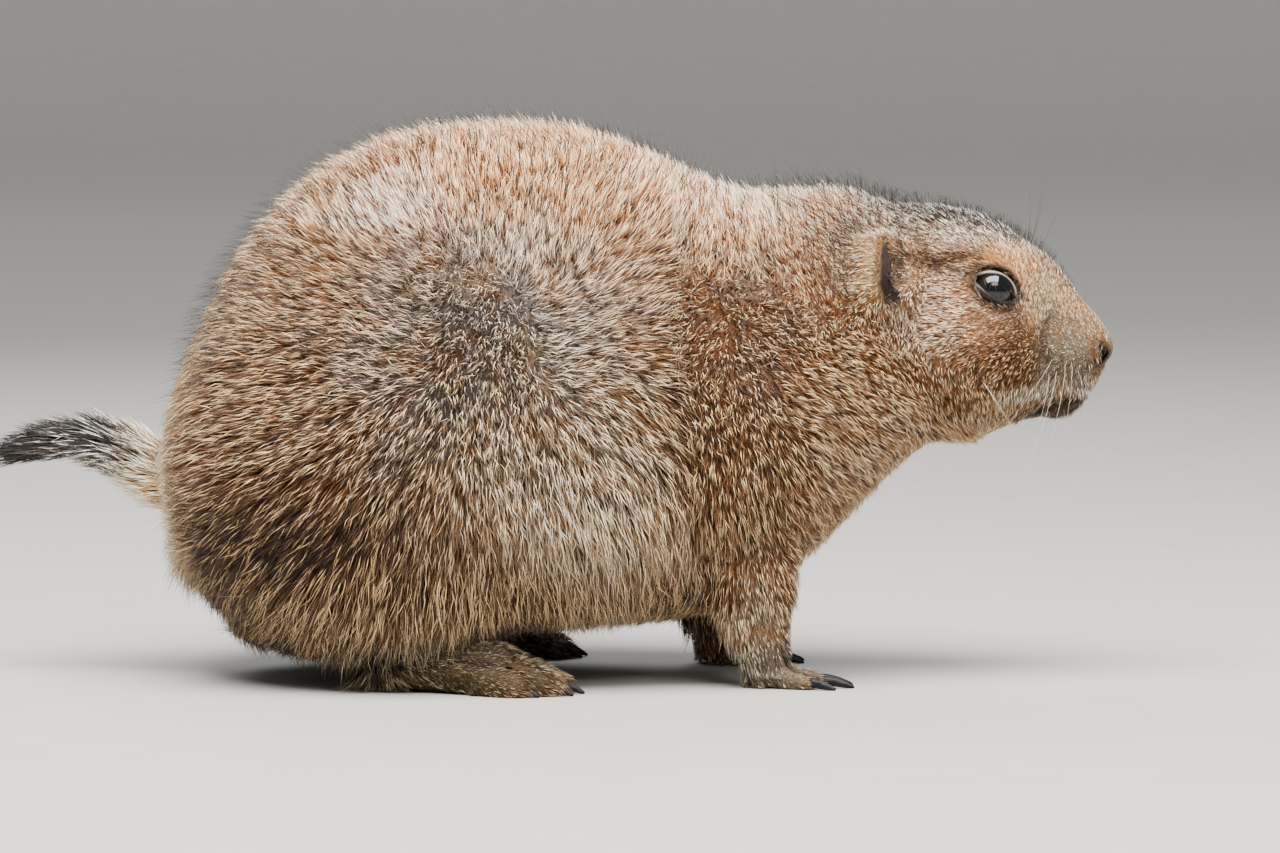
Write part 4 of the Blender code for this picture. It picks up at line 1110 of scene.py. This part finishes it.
def addLids(side, name):
    middle, long, short, outward = eyeFrame(side)
    (wide, high), turns = lids["half"], lids["turns"]
    points, pale = [], []
    for apart, rise, light in lids["rings"]:
        far = min(1.0, max(0.0, apart / 1.7))
        point = lids["pointed"] * max(0.0, 1 - apart / 2.5)
        for turn in np.arange(turns) * 2 * math.pi / turns:
            along, up = math.cos(turn), math.sin(turn)
            x, y = (wide + apart) * along, (high + apart * 1.05) * up * abs(up) ** point
            edgeX, edgeY = wide * along, high * up * abs(up) ** lids["pointed"]
            over = math.sqrt(max(eyes["radius"] ** 2 - edgeX ** 2 - edgeY ** 2, 0.3))
            stand = over * (1 - far) + 3.4 * far + rise
            points.append((middle + long * x + short * y + outward * stand) * mm)
            # painted highlight on the lid margin, much paler on the upper lid, where the light falls, than
            # on the lower one
            pale.append(light * (step(up, 0.1, 0.5) + 0.22 * step(-up, 0.2, 0.6)))
    # the last ring is joined to the first one underneath
    lid = newObject(name, points, bands(0, len(lids["rings"]), turns, wrapped=True))
    mark(lid, "pale", pale)
    apply(lid, "SUBSURF", levels=1, render_levels=1)
    return outwardFaces(lid)


eyePieces = [addEye(1, "eyeball_right"), addEye(-1, "eyeball_left")]
lidPieces = [addLids(1, "lids_right"), addLids(-1, "lids_left")]
print("eyes and lids")

# claws


clawGrow = 0.45  # mm


def addClaws(foot, side):
    # the claws of one foot, smoothed from the CAD's
    members = ["claw_%s_%s_%d" % (foot, side, k) for k in range(1, 6)]
    piece = joined("claws_%s_%s" % (foot, side), [copyNode(member, clawGrow) for member in members])
    liftToFloor(piece)
    apply(piece, "SUBSURF", levels=2, render_levels=2)
    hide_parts(*members)
    return smooth(piece)


clawPieces = [addClaws(foot, side) for foot in ("fore", "hind") for side in ("right", "left")]


# whiskers and bristles

whiskers = {
    # root and tip in the picture, how far the tip stands out sideways in mm, thickness, dark
    "rows": [
        (980, 377, 1010, 426, 6, 0.20, 0), (1058, 366, 1000, 512, 16, 0.11, 0),
        (1066, 360, 1030, 480, 16, 0.10, 0), (1054, 356, 982, 440, 16, 0.10, 0),
        (1072, 358, 1052, 452, 12, 0.09, 0), (1062, 350, 1008, 412, 16, 0.10, 1),
        (1078, 368, 1080, 430, 8, 0.08, 0), (1050, 370, 1018, 462, 10, 0.10, 0),
        (1080, 350, 1064, 415, 12, 0.09, 1), (1046, 404, 1040, 440, 3, 0.10, 0),
        (1064, 408, 1060, 438, 3, 0.09, 0), (1036, 236, 1043, 174, 8, 0.15, 1),
        (1030, 238, 1026, 186, 8, 0.14, 1), (1042, 246, 1056, 206, 8, 0.13, 1),
    ],
    "sides": 4,
    "rings": 9,
}


def addWhiskers():
    points, faces, dark = [], [], []
    sides, rings = whiskers["sides"], whiskers["rings"]
    for px, py, tipX, tipY, out, thick, black in whiskers["rows"]:
        root, normal = seenAt(px, py)
        x, z = inPicture(tipX, tipY)
        tip = Vector((x, root.y - out * mm, z))
        knee = root + normal * (tip - root).length * 0.12 + (tip - root) * 0.40
        shares = np.linspace(0, 1, rings)
        line = [root * (1 - t) ** 2 + knee * 2 * t * (1 - t) + tip * t * t for t in shares]
        line[0] = root - normal * 0.8 * mm
        for side in (1, -1):
            first = len(points)
            for k, place in enumerate(line):
                ahead = (line[min(k + 1, rings - 1)] - line[max(k - 1, 0)]).normalized()
                across = ahead.cross(Vector((0.2, 0.1, 1))).normalized()
                over = across.cross(ahead)
                radius = thick * 0.5 * mm * (1 - 0.9 * k / (rings - 1))
                for turn in range(sides):
                    angle = 2 * math.pi * turn / sides
                    spot = place + (across * math.cos(angle) + over * math.sin(angle)) * radius
                    points.append(spot * Vector((1, side, 1)))
                    dark.append(float(black))
            faces += bands(first, rings, sides)
            faces.append(tuple(first + turn for turn in reversed(range(sides))))
            faces.append(tuple(first + (rings - 1) * sides + turn for turn in range(sides)))
    piece = newObject("whiskers", points, faces)
    mark(piece, "dark", dark)
    return outwardFaces(piece)


whiskerPiece = addWhiskers()
print("claws, whiskers")

# colours of the coat

# each marking: where (picture place, or x, y, z in mm), its reach in mm, how soft its edge is,
# the colour of the hair's middle and of its pale end, then the share of hairs with pale ends, of
# those with black ones, and how far slate underfur shows in patches
plain = ((0.33, 0.16, 0.065), (0.82, 0.60, 0.36), 0.16, 0.06, 0.4)
markings = {
    "back": ((-20, 0, 152), (122, 56, 36), 0.6, (0.5, 0.215, 0.072), (0.9, 0.67, 0.43), 0.22, 0.05, 0.1),
    "pale top": ((392, 212), (16, 30, 9), 0.6, (0.64, 0.46, 0.33), (0.95, 0.85, 0.74), 0.22, 0.04, 0.0),
    "grey patch": ((495, 335), (36, 40, 29), 0.6, (0.36, 0.28, 0.205), (0.86, 0.72, 0.54), 0.18, 0.07, 1.0),
    "grey haunch": ((410, 410), (26, 40, 24), 0.6, (0.24, 0.135, 0.065),
                    (0.84, 0.64, 0.42), 0.17, 0.08, 0.8),
    "lower flank": ((575, 500), (36, 40, 30), 0.6, (0.47, 0.315, 0.17),
                    (0.92, 0.77, 0.56), 0.23, 0.03, 0.5),
    "rump": ((215, 430), (30, 90, 50), 0.6, (0.23, 0.1, 0.041), (0.84, 0.6, 0.35), 0.17, 0.08, 0.3),
    # rump low: darker fur, with painted shade under the rump
    "rump low": ((280, 600), (60, 90, 33), 0.6, (0.034, 0.014, 0.006),
                 (0.52, 0.35, 0.175), 0.085, 0.08, 0.0),
    "hem": ((480, 612), (56, 60, 13), 0.6, (0.105, 0.046, 0.017), (0.76, 0.54, 0.29), 0.2, 0.05, 0.0),
    "shoulder": ((765, 350), (32, 50, 34), 0.6, (0.3, 0.138, 0.052), (0.86, 0.64, 0.4), 0.17, 0.06, 0.4),
    "upper arm": ((750, 490), (24, 40, 26), 0.6, (0.225, 0.11, 0.041), (0.84, 0.61, 0.34), 0.16, 0.06, 0.1),
    "elbow": ((700, 605), (18, 40, 12), 0.6, (0.085, 0.04, 0.016), (0.66, 0.45, 0.23), 0.15, 0.3, 0.0),
    "belly": ((-10, 0, 12), (52, 30, 12), 0.6, (0.4, 0.28, 0.16), (0.84, 0.72, 0.53), 0.25, 0.04, 0.2),
    "forearm": ((768, 640), (13, 20, 13), 0.5, (0.31, 0.205, 0.118), (0.8, 0.65, 0.45), 0.18, 0.06, 0.0),
    "hand": ((790, 678), (20, 26, 8), 0.4, (0.2, 0.16, 0.112), (0.66, 0.58, 0.46), 0.18, 0.18, 0.0),
    "hind foot": ((-25, -45, 6), (40, 20, 11), 0.3, (0.09, 0.064, 0.033),
                  (0.4, 0.31, 0.185), 0.15, 0.16, 0.0),
    "nape": ((68, 0, 138), (34, 40, 16), 0.6, (0.62, 0.325, 0.145), (0.96, 0.82, 0.63), 0.3, 0.07, 0.1),
    "neck": ((850, 370), (18, 40, 20), 0.6, (0.33, 0.155, 0.058), (0.88, 0.66, 0.39), 0.17, 0.04, 0.2),
    "cheek": ((928, 305), (18, 24, 13), 0.5, (0.55, 0.335, 0.19), (0.91, 0.73, 0.54), 0.26, 0.05, 0.0),
    "ear back": ((855, 270), (8, 14, 11), 0.5, (0.64, 0.42, 0.2), (0.96, 0.82, 0.58), 0.26, 0.02, 0.0),
    "cheek patch": ((1010, 362), (12, 20, 10), 0.5, (0.14, 0.062, 0.024),
                    (0.62, 0.38, 0.2), 0.16, 0.1, 0.0),
    "jaw": ((990, 400), (16, 16, 7), 0.5, (0.25, 0.135, 0.055), (0.74, 0.54, 0.31), 0.18, 0.06, 0.0),
    "upper lip": ((1082, 382), (5, 12, 5), 0.5, (0.33, 0.26, 0.18), (0.9, 0.84, 0.72), 0.42, 0.1, 0.0),
    "above eye": ((1008, 254), (10, 12, 5), 0.5, (0.46, 0.235, 0.085), (0.86, 0.63, 0.36), 0.18, 0.06, 0.0),
    "eye stripe": ((932, 261), (11, 9, 2.4), 0.5, (0.17, 0.08, 0.032), (0.5, 0.3, 0.15), 0.12, 0.18, 0.0),
    "before eye": ((1045, 300), (9, 12, 9), 0.5, (0.32, 0.215, 0.11), (0.82, 0.67, 0.45), 0.22, 0.14, 0.0),
    "muzzle": ((1068, 352), (10, 20, 11), 0.5, (0.225, 0.176, 0.114), (0.74, 0.65, 0.49), 0.26, 0.34, 0.0),
    "crown edge": ((114, -13, 127), (32, 9, 7), 0.6, (0.48, 0.31, 0.19),
                   (0.95, 0.86, 0.72), 0.44, 0.16, 0.0),
    "crown": ((122, 0, 131), (38, 11, 9), 0.55, (0.04, 0.027, 0.02), (0.88, 0.8, 0.7), 0.1, 0.84, 0.0),
    "forehead": ((144, 0, 113), (15, 5, 10), 0.6, (0.12, 0.078, 0.048), (0.84, 0.7, 0.54), 0.16, 0.55, 0.0),
    "nose": ((1102, 340), (7, 9, 9), 0.5, (0.24, 0.18, 0.115), (0.72, 0.62, 0.46), 0.2, 0.14, 0.0),
    "chin": ((141, 0, 74), (17, 14, 6), 0.5, (0.06, 0.044, 0.03), (0.36, 0.3, 0.22), 0.2, 0.14, 0.0),
    "lip stripe": ((1035, 388), (10, 14, 3.4), 0.5, (0.36, 0.285, 0.19),
                   (0.84, 0.74, 0.58), 0.28, 0.05, 0.0),
    "rump fringe": ((-107, 0, 38), (10, 26, 18), 0.6, (0.4, 0.25, 0.12),
                    (0.88, 0.7, 0.45), 0.28, 0.04, 0.0),
    "tail base": ((-111, 2, 55), (16, 16, 18), 0.5, (0.8, 0.58, 0.33), (1.0, 0.9, 0.7), 0.4, 0.03, 0.0),
    "tail middle": ((-131, 9, 66), (15, 16, 14), 0.5, (0.024, 0.021, 0.02),
                    (0.74, 0.71, 0.66), 0.15, 0.52, 0.0),
    "tail tip": ((-150, 20, 61), (12, 16, 14), 0.5, (0.01, 0.009, 0.009),
                 (0.36, 0.33, 0.3), 0.05, 0.75, 0.0),
}


def coatColours(finish):
    # middle colour, tip colour and the two shares at each place, from the markings, alike on both sides
    stir = finish.vector("SUBTRACT", finish.noise(finish.place, 55.0, 3.0, out="Color"), (0.5, 0.5, 0.5))
    place = finish.vector("ADD", finish.place, finish.vector("MULTIPLY", stir, (0.016, 0.016, 0.016)))
    mirrored = finish.mirrored(place)
    middle, tip, *shares = plain
    shares = tuple(shares)
    for at, reach, soft, middleColour, tipColour, *mixture in markings.values():
        centre = seenAt(*at)[0] if len(at) == 2 else Vector(at) * mm
        centre = (centre.x, -abs(centre.y), centre.z)
        share = finish.spot(mirrored, centre, reach, 1 + soft, 1 - soft)
        middle = finish.mix(share, middle, middleColour)
        tip = finish.mix(share, tip, tipColour)
        shares = finish.mix(share, shares, tuple(mixture))
    pale, black, slate = (finish.node("ShaderNodeSeparateColor", None, {0: shares}, out=k) for k in range(3))
    patch = finish.ramp(finish.noise(place, 130.0, 3.0, 0.6), 0.42, 0.58)
    middle = finish.mix(patch * slate * 0.85, middle, (0.245, 0.235, 0.235))
    rusty = finish.ramp(finish.noise(place, 75.0, 3.0, 0.6), 0.45, 0.62)
    middle = finish.mix(rusty * 0.8, middle, finish.mix(1.0, middle, (1.12, 0.86, 0.66), "MULTIPLY"))
    return middle, tip, pale, black


def coatFinish():
    finish = Finish("coat", Roughness=0.55, Specular_IOR_Level=0.20, Sheen_Weight=0.05, Sheen_Roughness=0.4)
    along, chance, under = finish.attribute("along"), finish.attribute("pick"), finish.attribute("under")
    middle, tip, pale, black = coatColours(finish)
    low = finish.mix(1.0, middle, (0.26, 0.22, 0.21), "MULTIPLY")
    colour = finish.mix(finish.ramp(along, 0.12, 0.60), low, middle)
    isPale = finish.maths("LESS_THAN", chance, pale)
    isBlack = finish.maths("GREATER_THAN", chance, 1 - black)
    jitter = finish.maths("FRACT", chance * 57.3)
    lighter = finish.ramp(along, 0.45, 0.95) * jitter * (1 - under) * finish.ramp(pale, 0.05, 0.16) * 0.55
    colour = finish.mix(lighter, colour, tip)
    colour = finish.mix(finish.ramp(along, 0.22, 0.55) * isPale, colour, tip)
    colour = finish.mix(finish.ramp(along, 0.12, 0.50) * isBlack * 0.9, colour, (0.02, 0.016, 0.015))
    # random tone of each hair, paler tips and darker underfur, times the painted shade in the folds
    shade = (0.56 + jitter * 0.74 + isPale * 0.10 - under * 0.20) * (1 - finish.attribute("dim") * 0.85)
    grey = finish.node("ShaderNodeCombineColor", None, {0: shade, 1: shade, 2: shade})
    colour = finish.mix(1.0, colour, grey, "MULTIPLY")
    speck = finish.ramp(finish.noise(finish.place, 700.0, 2.0), 0.50, 0.62)
    colour = finish.mix(speck * finish.ramp(black, 0.08, 0.40) * 0.6, colour, (0.045, 0.035, 0.028))
    return finish.wear(Base_Color=colour)


def guardFinish():
    finish = Finish("guard hair", Roughness=0.45)
    along, chance = finish.attribute("along"), finish.attribute("pick")
    low = finish.mix(chance, (0.10, 0.07, 0.05), (0.22, 0.16, 0.11))
    return finish.wear(Base_Color=finish.mix(finish.ramp(along, 0.2, 0.6), low, (0.018, 0.015, 0.015)))


def skinFinish():
    finish = Finish("skin", Roughness=0.6, Specular_IOR_Level=0.10)
    middle = coatColours(finish)[0]
    dim, lip = finish.attribute("dim"), finish.attribute("lip")
    grain = finish.noise(finish.place, 1400.0, 3.0, 0.6)
    colour = finish.mix(1.0, middle, (0.34, 0.30, 0.28), "MULTIPLY")
    colour = finish.mix(finish.ramp(grain, 0.48, 0.72) * 0.6, colour, middle)
    noseTip = finish.spot(finish.mirrored(finish.place), (0.1565, -0.001, 0.091), (5, 5, 5.5), 1.3, 0.8)
    colour = finish.mix(noseTip, colour, finish.mix(grain, (0.10, 0.066, 0.046), (0.24, 0.165, 0.115)))
    colour = finish.mix(lip * 0.9, colour, finish.mix(grain, (0.010, 0.003, 0.0027), (0.040, 0.011, 0.008)))
    # painted shade in the folds, and the dark skin round the eye
    colour = finish.mix(dim, colour, (0.016, 0.010, 0.009))
    rough = finish.mix(lip, (0.62, 0.62, 0.62), (0.46, 0.46, 0.46))
    return finish.wear(Base_Color=colour, Roughness=rough, Normal=finish.bump(grain, 0.35, 0.0003))


def eyeFinish():
    finish = Finish("eye", Roughness=0.09, Specular_IOR_Level=0.5)
    gaze = finish.attribute("gaze")
    streak = finish.noise(finish.place, 700.0, 3.0, 0.6)
    iris = finish.mix(streak, (0.006, 0.0035, 0.0025), (0.013, 0.008, 0.005))
    colour = finish.mix(finish.ramp(gaze, 0.76, 0.82), iris, (0.0025, 0.0025, 0.003))
    colour = finish.mix(finish.ramp(gaze, 0.50, 0.35), colour, (0.006, 0.005, 0.005))
    return finish.wear(Base_Color=colour)


def lidFinish():
    finish = Finish("lid", Roughness=0.42, Specular_IOR_Level=0.35)
    grain = finish.noise(finish.place, 2600.0, 3.0, 0.6)
    dark = finish.mix(grain, (0.014, 0.010, 0.009), (0.034, 0.024, 0.020))
    light = finish.mix(grain, (0.26, 0.20, 0.165), (0.42, 0.34, 0.29))
    # the pale rim, which carries the painted highlight of the lid margin
    colour = finish.mix(finish.ramp(finish.attribute("pale"), 0.15, 0.95) * 0.9, dark, light)
    return finish.wear(Base_Color=colour, Normal=finish.bump(grain, 0.4, 0.0002))


def clawFinish():
    finish = Finish("claw", Roughness=0.4, Specular_IOR_Level=0.16)
    stretched = finish.vector("MULTIPLY", finish.place, (150.0, 1800.0, 1800.0))
    streak = finish.noise(stretched, 1.0, 3.0, 0.6)
    colour = finish.mix(finish.ramp(streak, 0.35, 0.75), (0.004, 0.004, 0.0045), (0.013, 0.0135, 0.016))
    rough = 0.32 + streak * 0.25
    return finish.wear(Base_Color=colour, Roughness=rough, Normal=finish.bump(streak, 0.3, 0.0002))


def whiskerFinish():
    finish = Finish("whisker", Roughness=0.3, Specular_IOR_Level=0.5)
    pale = finish.mix(finish.noise(finish.place, 500.0), (0.52, 0.46, 0.38), (0.66, 0.60, 0.51))
    return finish.wear(Base_Color=finish.mix(finish.attribute("dark"), pale, (0.03, 0.025, 0.022)))


def dress(pieces, material):
    for piece in pieces:
        piece.data.materials.clear()
        piece.data.materials.append(material)
        piece.data.polygons.foreach_set("material_index", np.zeros(len(piece.data.polygons), np.int32))
        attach(piece, root)


dress(coatPieces, coatFinish())
dress([guardPiece], guardFinish())
dress([skinObject], skinFinish())
dress(eyePieces, eyeFinish())
dress(lidPieces, lidFinish())
dress(clawPieces, clawFinish())
dress([whiskerPiece], whiskerFinish())
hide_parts(*trunkNodes, "tail_brush", *bothSides(limbNodes), *bothSides(["forefoot", "hindfoot", "ear"]))
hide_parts("eye_right")
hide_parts("eye_left")
print("materials")

# floor and light


def addFloor():
    # level under the animal, and curved up far behind it
    profile = [(-6.0, 0), (4.0, 0), (5.2, 0), (5.8, 0.06), (6.3, 0.4), (6.6, 1.0), (6.7, 2.0), (6.7, 4.0)]
    points = [(x, y, z) for y, z in profile for x in (-7.0, 7.0)]
    faces = [(2 * k, 2 * k + 1, 2 * k + 3, 2 * k + 2) for k in range(len(profile) - 1)]
    floor = newObject("floor", points, faces)
    smooth(apply(floor, "SUBSURF", levels=3, render_levels=3))
    finish = Finish("floor", Roughness=0.85)
    grain = finish.noise(finish.place, 40.0, 4.0)
    deep = finish.node("ShaderNodeSeparateXYZ", None, {0: finish.place}, out=1)
    near = finish.mix(grain, (0.33, 0.32, 0.305), (0.37, 0.36, 0.345))
    far = finish.mix(grain, (0.84, 0.82, 0.79), (0.90, 0.88, 0.85))  # further from the lights
    floor.data.materials.append(finish.wear(Base_Color=finish.mix(finish.ramp(deep, 0.5, 3.5), near, far)))


lights = {
    "over": ((0.05, -0.42, 1.15), (1.3, 0.8), 85.0, (1.0, 0.97, 0.92)),
    "front": ((0.45, -1.25, 1.05), (0.9, 0.5), 13.0, (1.0, 0.97, 0.93)),
    "behind": ((-0.3, 0.9, 0.9), (0.8, 0.6), 12.0, (0.95, 0.97, 1.0)),
}


def addLights():
    for name, (place, size, watts, colour) in lights.items():
        data = bpy.data.lights.new(name, "AREA")
        data.shape = "RECTANGLE"
        data.size, data.size_y = size
        data.energy = watts
        data.color = colour
        obj = linked(name, data)
        obj.location = place
        away = Vector(place) - Vector((0.02, 0, 0.07))
        obj.rotation_euler = away.to_track_quat("Z", "Y").to_euler()
    world = bpy.data.worlds.new("studio")
    bpy.context.scene.world = world
    world.use_nodes = True
    sky = world.node_tree.nodes["Background"]
    sky.inputs["Color"].default_value = (0.97, 0.96, 0.95, 1)
    sky.inputs["Strength"].default_value = 0.30


addFloor()
addLights()
